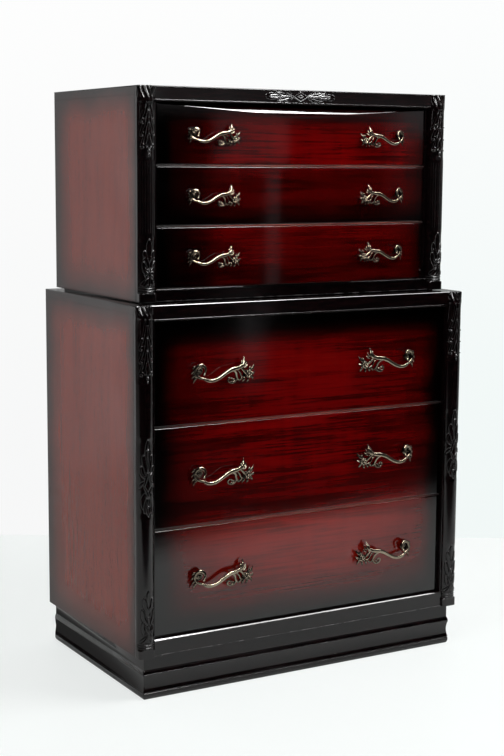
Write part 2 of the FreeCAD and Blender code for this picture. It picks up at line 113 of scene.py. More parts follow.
def roundedBlock(low, high, radius, steps=3, extra=(None, None, None)):
    # The surface of a block with rounded arrises. Each point of a plain box is drawn in to the nearest
    # point of a box that is smaller by the radius, then pushed out from there by the radius. The extra
    # places along an axis get a line of points too.
    low, high = np.array(low, float), np.array(high, float)
    near = np.append(radius * (1 - np.tan(np.linspace(math.pi / 4, 0, steps + 1))), 2.2 * radius)
    lines = []
    for axis in range(3):
        own = [low[axis] + near, high[axis] - near]
        if extra[axis] is not None:
            more = np.array(extra[axis], float)
            own.append(more[(more > low[axis] + 3 * radius) & (more < high[axis] - 3 * radius)])
        lines.append(np.unique(np.round(np.concatenate(own), 5)))
    parts = []
    for axis in range(3):
        a, b = (axis + 1) % 3, (axis + 2) % 3
        for place in (low[axis], high[axis]):
            grid = np.empty((len(lines[a]), len(lines[b]), 3))
            grid[..., axis] = place
            grid[..., a] = lines[a][:, None]
            grid[..., b] = lines[b][None, :]
            points = grid.reshape(-1, 3)
            inner = np.clip(points, low + radius, high - radius)
            away = points - inner
            points = inner + away * (radius / np.linalg.norm(away, axis=1))[:, None]
            quads = gridQuads(len(lines[a]), len(lines[b]))
            parts.append((points, quads if facesAway(points, quads, (low + high) / 2) else quads[:, ::-1]))
    return gathered(parts)


def facesAway(points, quads, middle):
    # whether the middle quad of a patch looks away from a point inside the piece
    q = points[quads[len(quads) // 2]]
    across = np.cross(q[2] - q[0], q[3] - q[1])
    return float(across @ (q.mean(0) - middle)) > 0


def roundedProfile(corners, radii, steps=4):
    # A closed outline whose corners are eased: each corner is the middle handle of a parabola that
    # starts and ends at the corner's radius along its two sides.
    corners = np.array(corners, float)
    radii = np.array(radii, float)[:, None]
    back = np.roll(corners, 1, axis=0) - corners
    ahead = np.roll(corners, -1, axis=0) - corners
    start = corners + back / np.linalg.norm(back, axis=1)[:, None] * radii
    end = corners + ahead / np.linalg.norm(ahead, axis=1)[:, None] * radii
    t = np.linspace(0, 1, steps + 1)[None, :, None]
    eased = (1 - t) ** 2 * start[:, None] + 2 * t * (1 - t) * corners[:, None] + t ** 2 * end[:, None]
    flat = eased.reshape(-1, 2)
    return flat[np.linalg.norm(flat - np.roll(flat, 1, axis=0), axis=1) > 1e-4]


def capped(rings):
    # a closed solid from a stack of equal closed outlines: the wall between them and a fan over each end
    count, around = rings.shape[:2]
    parts = [(rings.reshape(-1, 3), gridQuads(count, around, closeColumns=True))]
    for ring, turn in ((rings[0], 1), (rings[-1], -1)):
        fan = np.stack([ring, np.broadcast_to(ring.mean(0), ring.shape)])
        quads = gridQuads(2, around, closeColumns=True)
        parts.append((fan.reshape(-1, 3), quads[:, ::-1] if turn > 0 else quads))
    return gathered(parts)


def acrossBar(left, right, outline, ease=0.5):
    # An outline (depth, height) carried straight across the case. Over the ease at both ends it is drawn in
    # by steps of (way from the end, inset), as a rounded end.
    steps = np.array([(0.0, 1.0), (0.3, 0.3), (1.0, 0.0), (3.0 / ease, 0.0)]) * ease
    xs = np.concatenate([left + steps[:, 0], (right - steps[:, 0])[::-1]])
    inset = np.concatenate([steps[:, 1], steps[::-1, 1]])[:, None, None]
    rings = np.empty((len(xs), len(outline), 3))
    rings[..., 0] = xs[:, None]
    rings[..., 1:] = np.clip(outline[None], outline.min(0) + inset, outline.max(0) - inset)
    return outward(capped(rings))


def bowed(points, ends, rear):
    # points moved forward by the bow of the upper fronts: all of it in the plane of the ends, none at the rear
    share = np.clip((rear - points[:, 1]) / (rear - ends), 0, 1)
    return points - np.stack([share * 0, bowCurve(points[:, 0]) * share, share * 0], 1)


def outward(part):
    # turns every quad of a closed part round if the volume that they enclose comes out negative
    points, quads = part
    a, b, c, d = (points[quads[:, k]] for k in range(4))
    volume = (np.cross(a, b) * c).sum() + (np.cross(a, c) * d).sum()
    return (points, quads if volume > 0 else quads[:, ::-1])


def mirroredPart(part):
    # the same part on the other side of the centre line
    points, quads = part
    return points * np.array([-1, 1, 1]), quads[:, ::-1]


def sidesOf(node):
    # lowest and highest corner of a CAD node in millimetres
    low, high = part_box(node)
    return np.array(low) / mm, np.array(high) / mm


# shader nodes
class Wire:
    # one output socket; sums, differences, products and quotients of wires add Math nodes
    def __init__(self, finish, socket):
        self.finish, self.socket = finish, socket

    def maths(self, operation, *values):
        return self.finish.node("ShaderNodeMath", {"operation": operation}, dict(enumerate(values)))

    def __add__(self, other): return self.maths("ADD", self, other)

    def __radd__(self, other): return self.maths("ADD", other, self)

    def __sub__(self, other): return self.maths("SUBTRACT", self, other)

    def __rsub__(self, other): return self.maths("SUBTRACT", other, self)

    def __mul__(self, other): return self.maths("MULTIPLY", self, other)

    def __rmul__(self, other): return self.maths("MULTIPLY", other, self)

    def __truediv__(self, other): return self.maths("DIVIDE", self, other)

    def lesser(self, other): return self.maths("MINIMUM", self, other)

    def greater(self, other): return self.maths("MAXIMUM", self, other)


class Finish:
    # the nodes of one material, or of the node tree that is given
    def __init__(self, name, tree=None):
        if tree is None:
            self.material = bpy.data.materials.new(name)
            self.material.use_nodes = True
            tree = self.material.node_tree
        self.tree = tree
        self.tree.nodes.clear()

    def node(self, kind, settings=None, sockets=None, output=0):
        # settings come first, then the values or wires of its sockets
        made = self.tree.nodes.new(kind)
        for key, value in (settings or {}).items():
            if key == "stops":
                ramp = made.color_ramp
                while len(ramp.elements) < len(value):
                    ramp.elements.new(0.5)
                for element, (place, colour) in zip(ramp.elements, value):
                    element.position, element.color = place, (*colour, 1)
            else:
                setattr(made, key, value)
        for key, value in (sockets or {}).items():
            if isinstance(value, Wire):
                self.tree.links.new(value.socket, made.inputs[key])
            else:
                made.inputs[key].default_value = value
        return Wire(self, made.outputs[output])

    def axis(self, letter):
        here = self.node("ShaderNodeTexCoord", output="Object")
        return self.node("ShaderNodeSeparateXYZ", None, {0: here}, "XYZ".index(letter))

    def attribute(self, name):
        return self.node("ShaderNodeAttribute", {"attribute_name": name}, output="Fac")

    def ray(self, kind):
        # 1 where the ray is of this kind, which is Camera or Glossy
        return self.node("ShaderNodeLightPath", output=f"Is {kind} Ray")

    def noise(self, scale, detail=3.0, roughness=0.5, distortion=0.0,
              stretch=(1, 1, 1), shift=(0, 0, 0), turn=(0, 0, 0)):
        # over the object's own coordinates, which are stretched, turned and shifted first
        here = self.node("ShaderNodeTexCoord", output="Object")
        sockets = {0: here, "Scale": stretch, "Rotation": turn, "Location": shift}
        where = self.node("ShaderNodeMapping", None, sockets)
        sockets = {0: where, "Scale": scale, "Detail": detail, "Roughness": roughness, "Distortion": distortion}
        return self.node("ShaderNodeTexNoise", None, sockets)

    def spread(self, value, low, high, toLow=0.0, toHigh=1.0):
        # a smooth step from one value to another
        sockets = {0: value, 1: low, 2: high, 3: toLow, 4: toHigh}
        return self.node("ShaderNodeMapRange", {"interpolation_type": "SMOOTHSTEP"}, sockets)

    def blended(self, factor, a, b):
        a, b = ((*c, 1) if isinstance(c, tuple) else c for c in (a, b))
        return self.node("ShaderNodeMix", {"data_type": "RGBA"}, {0: factor, 6: a, 7: b}, 2)

    def mixed(self, factor, a, b):
        return self.node("ShaderNodeMixShader", None, {0: factor, 1: a, 2: b})

    def glow(self, colour, strength):
        colour = (*colour, 1) if isinstance(colour, tuple) else colour
        return self.node("ShaderNodeEmission", None, {"Color": colour, "Strength": strength})

    def bump(self, height, distance, strength=1.0):
        return self.node("ShaderNodeBump", None, {"Height": height, "Distance": distance, "Strength": strength})

    def surface(self, colour, roughness, normal=None, **constants):
        # the wood, metal or paper itself; a constant's name has _ for each space of its socket's name
        sockets = {"Base Color": colour, "Roughness": roughness, **({"Normal": normal} if normal else {})}
        sockets.update({key.replace("_", " "): value for key, value in constants.items()})
        shader = self.node("ShaderNodeBsdfPrincipled", None, sockets)
        self.output(shader)
        return shader

    def output(self, shader):
        # one output node, used again when a later shader wraps the first
        out = self.tree.nodes.get("result") or self.tree.nodes.new("ShaderNodeOutputMaterial")
        out.name = "result"
        self.tree.links.new(shader.socket, out.inputs["Surface"])


# camera
cameraSet = {"place": (-1.93706, -3.30108, 1.24566), "turn": 30.304, "dip": 8.165, "roll": 0.362,
             "lens": 72.197, "sensor": 36.0}
camera = bpy.data.objects.new("camera", bpy.data.cameras.new("camera"))
scene.collection.objects.link(camera)
scene.camera = camera
camera.data.sensor_fit = "VERTICAL"
camera.data.sensor_height = cameraSet["sensor"]
camera.data.lens = cameraSet["lens"]
camera.location = cameraSet["place"]
aim = Matrix.Identity(4)
for angle, axis in ((-cameraSet["turn"], "Z"), (90 - cameraSet["dip"], "X"), (cameraSet["roll"], "Z")):
    aim = aim @ Matrix.Rotation(math.radians(angle), 4, axis)
camera.rotation_euler = aim.to_euler()
print("camera set")

# floor, backdrop and lights
stageSet = {"floorPale": (0.84, 0.87, 0.86), "floorSpeck": (0.72, 0.73, 0.72), "floorCloud": (0.90, 0.92, 0.91),
            "floorPaintedShade": (0.004, 0.004, 0.004), "floorShown": (0.965, 0.995, 0.985), "shownShare": 0.70,
            "brightEnd": -1.2, "brightSoft": 0.4, "floorHalf": 9.0,
            "wallAway": 5.19, "wallHalf": 7.0, "wallTop": 6.0, "cove": 0.25, "wallDull": (0.85, 0.86, 0.86),
            "wallLeft": (0.93, 0.935, 0.935), "wallRight": (0.885, 0.94, 0.93),
            "wallHigh": (0.99, 0.992, 0.992)}
# the room in front, with the soft edges of what stands in it as (start, end) in metres, and values there
roomSet = {"at": -3.0, "wide": (-0.6, 4.5), "high": (0.0, 3.0), "tint": (1.0, 0.93, 0.95),
           "wallLevel": 0.21, "doorLevel": 0.19,
           "doorLeft": (1.36, 1.43), "doorRight": (1.56, 1.49), "doorFoot": (0.15, 0.4),
           "panelLeft": (0.85, 0.98), "panelRight": (1.66, 1.56), "panelFoot": (1.20, 1.26),
           "wallFoot": (1.41, 1.52), "wallFade": (1.72, 2.0, 1.0, 0.5),
           "sideStart": (2.6, 3.2), "sideLow": (0.8, 1.1, 0.0, 0.05), "sideHigh": (1.3, 1.45, 0.0, 0.36)}


def floorPaper():
    # pale and lightly speckled; to reflections it is bright only in front of the case, and beyond that a
    # painted shade stands in for floor that the lamps don't reach
    floor, look = Finish("floorPaper"), stageSet
    speck = floor.noise(260.0, 2.0, 0.6)
    broad = floor.noise(1.4, 2.0)
    pale = floor.blended(floor.spread(speck, 0.62, 0.72), look["floorPale"], look["floorSpeck"])
    pale = floor.blended(floor.spread(broad, 0.3, 0.7, 0.0, 0.25), pale, look["floorCloud"])
    toFront = floor.axis("Y") + floor.axis("X") * 0.2
    beyond = floor.spread(toFront, look["brightEnd"], look["brightEnd"] - look["brightSoft"])
    # painted shade: reflections see the floor near black beyond the line in front of the case
    colour = floor.blended((beyond * 0.8 + 0.2) * floor.ray("Glossy"), pale, look["floorPaintedShade"])
    lit = floor.surface(colour, 0.35, Specular_IOR_Level=0.3)
    shown = floor.glow(look["floorShown"], 1.0)
    floor.output(floor.mixed(floor.ray("Camera") * look["shownShare"], lit, shown))
    return floor


def backdropPaper():
    # near white to the camera, brightest at the far left in reflections, a dull sheet to the lamps, and
    # clear from behind
    wall, look = Finish("backdropPaper"), stageSet
    x, z = wall.axis("X"), wall.axis("Z")
    toCamera = wall.ray("Camera")
    low = wall.blended(wall.spread(x, 0.2, 1.2), look["wallLeft"], look["wallRight"])
    colour = wall.blended(wall.spread(z, 0.1, 2.2), low, look["wallHigh"])
    farLeft = wall.spread(x, -1.25, -1.9, 0.5, 0.92) * wall.spread(x, -2.9, -2.4)
    lit = wall.glow(colour, toCamera + (1 - toCamera) * farLeft)
    dull = wall.node("ShaderNodeBsdfDiffuse", None, {"Color": (*look["wallDull"], 1)})
    shown = wall.mixed((toCamera + wall.ray("Glossy")).lesser(1.0), dull, lit)
    behind = wall.node("ShaderNodeNewGeometry", output="Backfacing")
    wall.output(wall.mixed(behind, shown, wall.node("ShaderNodeBsdfTransparent")))
    return wall


def roomCard():
    # a glowing card that only the lacquer shows, a painted reflection of the room: a dim wall from head height,
    # a door, the panel over it and light at the side
    room, look = Finish("roomCard"), roomSet
    x, z = room.axis("X"), room.axis("Z")

    def edge(axis, name):
        return room.spread(axis, *look[name])

    door = edge(x, "doorLeft") * edge(x, "doorRight") * edge(z, "doorFoot")
    panel = edge(x, "panelLeft") * edge(x, "panelRight") * edge(z, "panelFoot")
    wall = edge(z, "wallFoot") * edge(z, "wallFade")
    side = edge(x, "sideStart") * edge(z, "sideLow").greater(edge(z, "sideHigh"))
    level = (door.greater(panel) * look["doorLevel"]).greater(wall * look["wallLevel"]).greater(side)
    clear = room.node("ShaderNodeBsdfTransparent")
    room.output(room.mixed(room.ray("Glossy"), clear, room.glow(look["tint"], level)))
    return room


def buildStage():
    # A level floor, a card in front, and a wall square to the camera's way that rises from the floor in a
    # quarter circle: run = r sin a, rise = r (1 - cos a).
    half, cove = stageSet["floorHalf"], stageSet["cove"]
    flat = np.array([(x, y, 0.0) for x in (-half, half) for y in (-half, half)])
    sheets = [("floorSheet", flat, gridQuads(2, 2)[:, ::-1], floorPaper())]
    turn = math.radians(cameraSet["turn"])
    ahead = np.array([math.sin(turn), math.cos(turn), 0])
    across = np.array([math.cos(turn), -math.sin(turn), 0])
    start = np.array([*cameraSet["place"][:2], 0.0]) + ahead * (stageSet["wallAway"] - cove)
    angle = np.linspace(0, math.pi / 2, 13)
    run = np.append(cove * np.sin(angle), cove)
    rise = np.append(cove * (1 - np.cos(angle)) + 0.002, stageSet["wallTop"])
    line = start + ahead * run[:, None] + np.array([0, 0, 1.0]) * rise[:, None]
    sheet = line[:, None, :] + across * (np.array([-1, 1]) * stageSet["wallHalf"])[None, :, None]
    sheets.append(("backdropSheet", sheet.reshape(-1, 3), gridQuads(len(run), 2), backdropPaper()))
    card = np.array([(x, roomSet["at"], z) for x in roomSet["wide"] for z in roomSet["high"]])
    sheets.append(("roomSheet", card, gridQuads(2, 2), roomCard()))
    for name, points, quads, finish in sheets:
        mesh = bpy.data.meshes.new(name)
        mesh.from_pydata(points.tolist(), [], quads.tolist())
        mesh.materials.append(finish.material)
        mesh.polygons.foreach_set("use_smooth", np.ones(len(quads), bool))
        made = bpy.data.objects.new(name, mesh)
        scene.collection.objects.link(made)


worldSet = {"front": 0.006, "back": 0.45, "top": 0.12, "shown": 0.985, "glossy": 0.05}


def buildWorld():
    # white to the camera; its light comes from behind and above, and reflections see little of it
    world = bpy.data.worlds.new("studio")
    scene.world = world
    world.use_nodes = True
    air = Finish("studio", world.node_tree)
    way = air.node("ShaderNodeTexCoord", output="Generated")
    x, y, z = (air.node("ShaderNodeSeparateXYZ", None, {0: way}, k) for k in range(3))
    back = air.spread(y * 0.8 - x * 0.6, -0.35, 0.55)
    level = worldSet["front"] + back * (worldSet["back"] - worldSet["front"])
    level = level + air.spread(z, 0.25, 0.9) * worldSet["top"]
    level = level * (1 - air.ray("Glossy") * (1 - worldSet["glossy"]))
    seen = air.ray("Camera")
    strength = seen * worldSet["shown"] + (1 - seen) * level
    glow = air.node("ShaderNodeBackground", None, {"Color": (1, 1, 1, 1), "Strength": strength})
    out = air.tree.nodes.new("ShaderNodeOutputWorld")
    air.tree.links.new(glow.socket, out.inputs["Surface"])


# Lamps by (place, aim, size, power). The glossy ones are seen only in the lacquer and the brass, the hidden
# ones only light what they reach.
lampSet = {
    "glossy": {"spark": ((0.62, -1.0, 2.75), (0.0, -0.2, 1.2), (0.8, 0.55), 85),
               "window": ((-0.1, -2.72, 2.62), (-0.2, -0.2, 1.1), (1.05, 0.8), 95),
               "strip": ((1.8, -0.9, 2.75), (1.8, -0.2, 0.9), (1.5, 0.32), 36)},
    "hidden": {"sky": ((1.1, -1.1, 2.75), (0.0, -0.2, 0.9), (1.3, 1.2), 70),
               "overhead": ((-0.3, 0.1, 2.75), (-0.1, 0.1, 0.9), (2.2, 1.7), 14),
               "key": ((-3.2, -1.4, 2.1), (-0.3, 0.0, 0.7), (1.5, 1.5), 48),
               "fill": ((3.1, -0.7, 1.0), (0.3, 0.0, 0.6), (0.8, 2.0), 10),
               "low": ((0.3, -1.9, 0.2), (0.0, 0.0, 0.35), (1.6, 0.5), 5)},
}


def buildLamps():
    for kind, lamps in lampSet.items():
        for name, (place, target, size, power) in lamps.items():
            data = bpy.data.lights.new(name, "AREA")
            data.shape = "RECTANGLE"
            data.size, data.size_y = size
            data.energy = power
            lamp = bpy.data.objects.new(name, data)
            scene.collection.objects.link(lamp)
            lamp.location = place
            lamp.rotation_mode = "QUATERNION"
            lamp.rotation_quaternion = (Vector(target) - Vector(place)).to_track_quat("-Z", "Y")
            lamp.visible_camera = False
            lamp.visible_glossy = kind == "glossy"
            lamp.visible_diffuse = kind == "hidden"


buildStage()
buildWorld()
buildLamps()
print("stage, world and lamps set")

# finishes
# Shares of the red that show through the black shading, along the case and up it: (millimetres, share).
caseShade = {
    "lower": {
        "along": ((-398, 0), (-380, 0.04), (-358, 0.18), (-330, 0.4), (-280, 0.6), (-200, 0.88), (-100, 1),
                  (130, 1), (240, 0.8), (320, 0.62), (355, 0.42), (376, 0.12), (394, 0.01), (410, 0)),
        "up": ((150, 0), (178, 0.1), (205, 0.42), (245, 0.75), (300, 0.85), (360, 1), (392, 0.95),
               (425, 0.64), (450, 0.58), (500, 0.85), (590, 0.88), (625, 1.0), (645, 0.72), (700, 0.85),
               (795, 0.8), (815, 0.62), (832, 0.14), (850, 0.02), (870, 0)),
    },
    "upper": {
        "along": ((-352, 0), (-335, 0.05), (-300, 0.12), (-262, 0.22), (-225, 0.66), (-190, 0.95),
                  (-100, 1), (20, 0.85), (200, 0.8), (300, 0.75), (335, 0.45), (358, 0.22), (370, 0.05),
                  (376, 0.02)),
        "up": ((945, 0.4), (975, 0.45), (1030, 0.5), (1075, 0.6), (1092, 0.72), (1098, 0.02), (1115, 0.08),
               (1140, 0.3), (1165, 0.42), (1215, 0.55), (1231, 0.6), (1237, 1), (1290, 0.95), (1320, 0.66),
               (1345, 0.22), (1365, 0.06), (1380, 0.02)),
    },
}
frontWood = {"black": (0.0003, 0.0002, 0.0002), "deep": (0.024, 0.0002, 0.0003), "red": (0.124, 0.0006, 0.0007),
             "warm": (0.25, 0.012, 0.004), "roughness": (0.05, 0.12), "scratch": 0.08,
             "paintedFloorLight": (0.43, 0.37)}
bladeWood = {"brown": (0.10, 0.012, 0.008), "wearAndSheen": (0.22, 0.040, 0.024), "black": (0.004, 0.0015, 0.0015)}
panelWood = {"red": (0.125, 0.012, 0.005), "warm": (0.18, 0.020, 0.008), "pores": (0.04, 0.003, 0.002),
             "black": (0.002, 0.0015, 0.0016), "shown": 0.03, "roughness": (0.16, 0.26),
             "fades": ((-0.012, 0.058), (0.01, -0.12), (-0.04, 0.10), (0.0, -0.09)),
             "edges": {"lower": (-0.239, 0.270, 0.103, 0.921), "upper": (-0.1895, 0.270, 0.924, 1.411)}}
frameWood = {"black": (0.0006, 0.0003, 0.0004), "brown": (0.005, 0.0015, 0.0017),
             "roughness": (0.10, 0.18), "groove": 0.4}
# bare boards: pale and dark streaks, and the way the grain runs
boardWood = {"plainBoardAcross": ((0.30, 0.17, 0.09), (0.17, 0.085, 0.042), "X"),
             "plainBoardDeep": ((0.28, 0.155, 0.08), (0.16, 0.08, 0.04), "Y"),
             "plainBoardTall": ((0.25, 0.14, 0.075), (0.14, 0.07, 0.036), "Z"),
             "drawerBoardDeep": ((0.46, 0.31, 0.17), (0.33, 0.20, 0.10), "Y"),
             "drawerBoardAcross": ((0.46, 0.31, 0.17), (0.33, 0.20, 0.10), "X")}
grainStretch = {"X": (1.5, 12.0, 12.0), "Y": (12.0, 1.5, 12.0), "Z": (20.0, 20.0, 0.8)}
brassLook = {"hollow": (0.014, 0.011, 0.009), "wearAndSheen": (0.31, 0.255, 0.19), "roughness": (0.11, 0.24)}
steelLook = {"dark": (0.33, 0.32, 0.31), "bright": (0.55, 0.54, 0.52), "roughness": (0.28, 0.45)}


def shareAlong(wood, place, stops):
    # a soft ramp over a coordinate in metres, through the stops given in millimetres
    low, high = stops[0][0] * mm, stops[-1][0] * mm
    stops = [((spot * mm - low) / (high - low), (share, share, share)) for spot, share in stops]
    return wood.node("ShaderNodeValToRGB", {"stops": stops}, {0: (place - low) / (high - low)})


def frontFinish(name, shade, seed):
    # dark red mahogany under lacquer: streaks along the board, shaded to black towards the case's edges, and
    # with redder, paler streaks low down, a painted glow that stands in for light thrown up by the pale floor
    wood, look = Finish(name), frontWood
    wander = wood.noise(2.2, 2.0, stretch=(0.8, 1.0, 3.0), shift=(seed, seed, seed))
    figure = wood.noise(3.2, 4.0, 0.55, 0.6, stretch=(0.9, 2.0, 9.0), shift=(seed, 0, seed))
    streaks = wood.noise(4.0, 3.0, 0.6, 0.25, stretch=(1.3, 6.0, 52.0), shift=(seed, 3, 0))
    pores = wood.noise(6.0, 1.0, 0.5, stretch=(9.0, 60.0, 420.0))
    ribbon = wood.noise(2.0, 2.0, 0.5, 0.3, stretch=(14.0, 5.0, 2.0), shift=(0, seed, 0))
    fine = wood.noise(4.0, 2.0, 0.6, 0.1, stretch=(1.6, 6.0, 120.0), shift=(1, seed, 2))
    tone = figure * 0.42 + streaks * 0.36 + fine * 0.16 + wander * 0.26 + ribbon * 0.10 - 0.15
    colour = wood.blended(wood.spread(tone, 0.38, 0.58), look["deep"], look["red"])
    colour = wood.blended(wood.spread(tone, 0.58, 0.78, 0.0, 0.55), colour, look["warm"])
    colour = wood.blended(wood.spread(pores, 0.56, 0.74, 0.0, 0.45), colour, look["deep"])
    # painted light: the lowest fronts turn paler and redder, standing in for light thrown up from the floor
    low = wood.spread(wood.axis("Z"), *look["paintedFloorLight"])
    colour = wood.blended(low * wood.spread(tone, 0.3, 0.7, 0.24, 0.46), colour, look["warm"])
    cloud = (wood.noise(5.0, 3.0, 0.6, shift=(seed, 1, 2)) - 0.5) * 0.05
    along = shareAlong(wood, wood.axis("X") + cloud, shade["along"])
    up = shareAlong(wood, wood.axis("Z") + cloud * 0.3, shade["up"])
    colour = wood.blended(along * up, look["black"], colour)
    smudge = wood.noise(7.0, 4.0, 0.65)
    scratch = wood.noise(30.0, 1.0, stretch=(3.0, 3.0, 60.0), turn=(0, 0.5, 0))
    roughness = wood.spread(smudge, 0.35, 0.75, *look["roughness"])
    roughness = roughness + wood.spread(scratch, 0.68, 0.75, 0.0, look["scratch"])
    peel = wood.noise(90.0, 2.0) * 0.25 + wood.noise(6.0, 2.0, stretch=(3, 3, 14))
    wood.surface(colour, roughness, wood.bump(peel + pores * 0.12, 0.00012, 0.3), IOR=1.58)
    return wood


def bladeFinish(name, stops):
    # the thin divider edges: a duller, browner red along the middle of the case, in streaks made paler partly
    # by wear and partly as a painted highlight for the light that the rounded edges catch
    wood, look = Finish(name), bladeWood
    grain = wood.noise(5.0, 3.0, 0.6, stretch=(2.0, 20.0, 60.0))
    # paler streaks: partly wear, partly a painted highlight on the blade edges
    colour = wood.blended(wood.spread(grain, 0.3, 0.7), look["brown"], look["wearAndSheen"])
    colour = wood.blended(shareAlong(wood, wood.axis("X"), stops), look["black"], colour)
    wood.surface(colour, wood.spread(grain, 0.3, 0.7, 0.32, 0.48), wood.bump(grain, 0.0001, 0.3), IOR=1.45)
    return wood


def panelFinish(name, edges, seed):
    # a case's side: the same wood with the grain upright, shaded along its front, rear, foot and head
    wood, look = Finish(name), panelWood
    figure = wood.noise(3.0, 4.0, 0.55, 0.5, stretch=(2.0, 7.0, 0.8), shift=(seed, seed, 0))
    streaks = wood.noise(4.0, 3.0, 0.6, 0.2, stretch=(6.0, 46.0, 2.0), shift=(seed, 2, 0))
    pores = wood.noise(6.0, 1.0, 0.5, stretch=(60.0, 380.0, 8.0))
    tone = figure * 0.6 + streaks * 0.4
    colour = wood.blended(wood.spread(tone, 0.25, 0.75), look["red"], look["warm"])
    colour = wood.blended(wood.spread(pores, 0.56, 0.74, 0.0, 0.4), colour, look["pores"])
    y, z = wood.axis("Y"), wood.axis("Z")
    cloud = (wood.noise(6.0, 3.0, 0.6, shift=(seed, 1, 2)) - 0.5) * 0.05
    front, rear, foot, head = (wood.spread(place + cloud, edge + start, edge + end)
                               for place, edge, (start, end) in zip((y, y, z, z), edges, look["fades"]))
    share = front * rear * foot * head * (1 - look["shown"]) + look["shown"]
    colour = wood.blended(share, look["black"], colour)
    smudge = wood.noise(6.0, 4.0, 0.65)
    roughness = wood.spread(smudge, 0.3, 0.75, *look["roughness"])
    peel = wood.noise(80.0, 2.0) * 0.3 + streaks * 0.3
    wood.surface(colour, roughness, wood.bump(peel + pores * 0.2, 0.00015, 0.3), IOR=1.5)
    return wood


def frameFinish(name, wearAndSheen):
    # near-black mahogany of the posts, rails and plinth: its raised parts are paler, as wear in the brown of
    # the plain finish and as a painted highlight in the grey of the carved rails' finish; its grooves are dull
    wood, look = Finish(name), frameWood
    grain = wood.noise(5.0, 3.0, 0.6, stretch=(5.0, 30.0, 30.0))
    colour = wood.blended(wood.spread(grain, 0.35, 0.75), look["black"], look["brown"])
    raised = wood.attribute("raised")
    # paler raised parts: wear where the colour given is a brown, a painted highlight where it is a grey
    wearAndSheenMask = wood.spread(raised, 0.5, 1.0) * wood.spread(wood.noise(60.0, 3.0), 0.35, 0.7)
    colour = wood.blended(wearAndSheenMask * 0.5, colour, wearAndSheen)
    smudge = wood.noise(9.0, 4.0, 0.65)
    groove = wood.spread(raised, -0.25, -0.5) * wood.spread(raised, -0.8, -0.62)
    roughness = wood.spread(smudge, 0.35, 0.75, *look["roughness"]) + groove * look["groove"]
    peel = wood.noise(120.0, 2.0)
    wood.surface(colour, roughness, wood.bump(peel + grain * 0.5, 0.0001, 0.3), IOR=1.5)
    return wood


def plainFinish(name, pale, dark, along):
    # bare board: long streaks and pores along the grain
    wood, stretch = Finish(name), grainStretch[along]
    streaks = wood.noise(5.0, 4.0, 0.6, 0.4, stretch=stretch)
    pores = wood.noise(5.0, 2.0, 0.6, stretch=tuple(9 * s for s in stretch))
    colour = wood.blended(wood.spread(streaks, 0.3, 0.7), dark, pale)
    colour = wood.blended(wood.spread(pores, 0.55, 0.75, 0.0, 0.5), colour, tuple(0.6 * c for c in dark))
    roughness = wood.spread(streaks, 0.3, 0.7, 0.45, 0.65)
    wood.surface(colour, roughness, wood.bump(streaks * 0.5 + pores, 0.0002, 0.5), IOR=1.45)
    return wood


def brassFinish():
    # cast brass, rubbed bright on the high places and near black in the hollows
    metal, look = Finish("agedBrass"), brassLook
    proud = metal.attribute("proud")
    normal = metal.node("ShaderNodeTexCoord", output="Normal")
    facing = 0 - metal.node("ShaderNodeSeparateXYZ", None, {0: normal}, 1)
    mottle = metal.noise(220.0, 3.0, 0.6)
    share = metal.spread(proud * 0.7 + facing * 0.4 + (mottle - 0.5) * 0.9, 0.5, 1.15)
    colour = metal.blended(share, look["hollow"], look["wearAndSheen"])
    roughness = metal.spread(mottle, 0.3, 0.7, *look["roughness"])
    metal.surface(colour, roughness, metal.bump(mottle, 0.0004, 0.5), Metallic=1.0)
    return metal


def steelFinish():
    # turned steel of the screws
    metal, look = Finish("screwSteel"), steelLook
    turned = metal.noise(300.0, 2.0)
    colour = metal.blended(metal.spread(turned, 0.3, 0.7), look["dark"], look["bright"])
    roughness = metal.spread(turned, 0.3, 0.7, *look["roughness"])
    metal.surface(colour, roughness, metal.bump(turned, 0.0002, 0.3), Metallic=1.0)
    return metal


lacquer = frameFinish("frameLacquer", (0.03, 0.014, 0.013))
# the carved rails' finish: its pale grey on raised parts is a painted highlight
paintedHighlightLacquer = frameFinish("paintedHighlightLacquer", (0.34, 0.32, 0.33))
frontFinishes = {case: frontFinish(case + "FrontWood", caseShade[case], seed)
                 for case, seed in (("lower", 0.0), ("upper", 4.7))}
bladeFinishes = [bladeFinish(case + "BladeWood", caseShade[case]["along"]) for case in cases]
panelFinishes = {case: panelFinish(case + "SideWood", panelWood["edges"][case], seed)
                 for case, seed in (("lower", 1.3), ("upper", 6.1))}
boardFinishes = {name: plainFinish(name, *look) for name, look in boardWood.items()}
brass = brassFinish()
steel = steelFinish()
print("finishes mixed")


def dress(node, finish):
    # a CAD node keeps its shape and gets a finish in each of its slots
    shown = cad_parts[node]
    if not shown.material_slots:
        shown.data.materials.append(finish.material)
    for slot in shown.material_slots:
        slot.material = finish.material


plainNodes = {"plainBoardAcross": ["lower_bottom_board", "upper_bottom_board", "drawer_stops", "plinth_back"],
              "plainBoardDeep": ["drawer_runners"],
              "plainBoardTall": ["lower_back_panel", "upper_back_panel", "locating_dowels", "glue_blocks"],
              "drawerBoardDeep": [f"{case}_{level}_drawer_sides" for case, level in drawers],
              "drawerBoardAcross": [f"{case}_{level}_drawer_{part}" for case, level in drawers
                                    for part in ("back", "bottom")]}
for name, nodes in plainNodes.items():
    for node in nodes:
        dress(node, boardFinishes[name])
dress("case_bearers", lacquer)
for case, level in drawers:
    dress(f"{case}_{level}_drawer_screws", steel)
print("plain parts dressed")

# case boards
boardSet = {"thick": 20.0, "round": 0.5, "tuck": 0.1, "skin": 2.2, "skinEase": (0.3, 0.1, 0.3, 0.3, 0.6),
            "bevel": (1.2, 1.5)}


def frontOf(case):
    # the plane of a case's front
    return sidesOf(case + "_top_rail")[0][1]


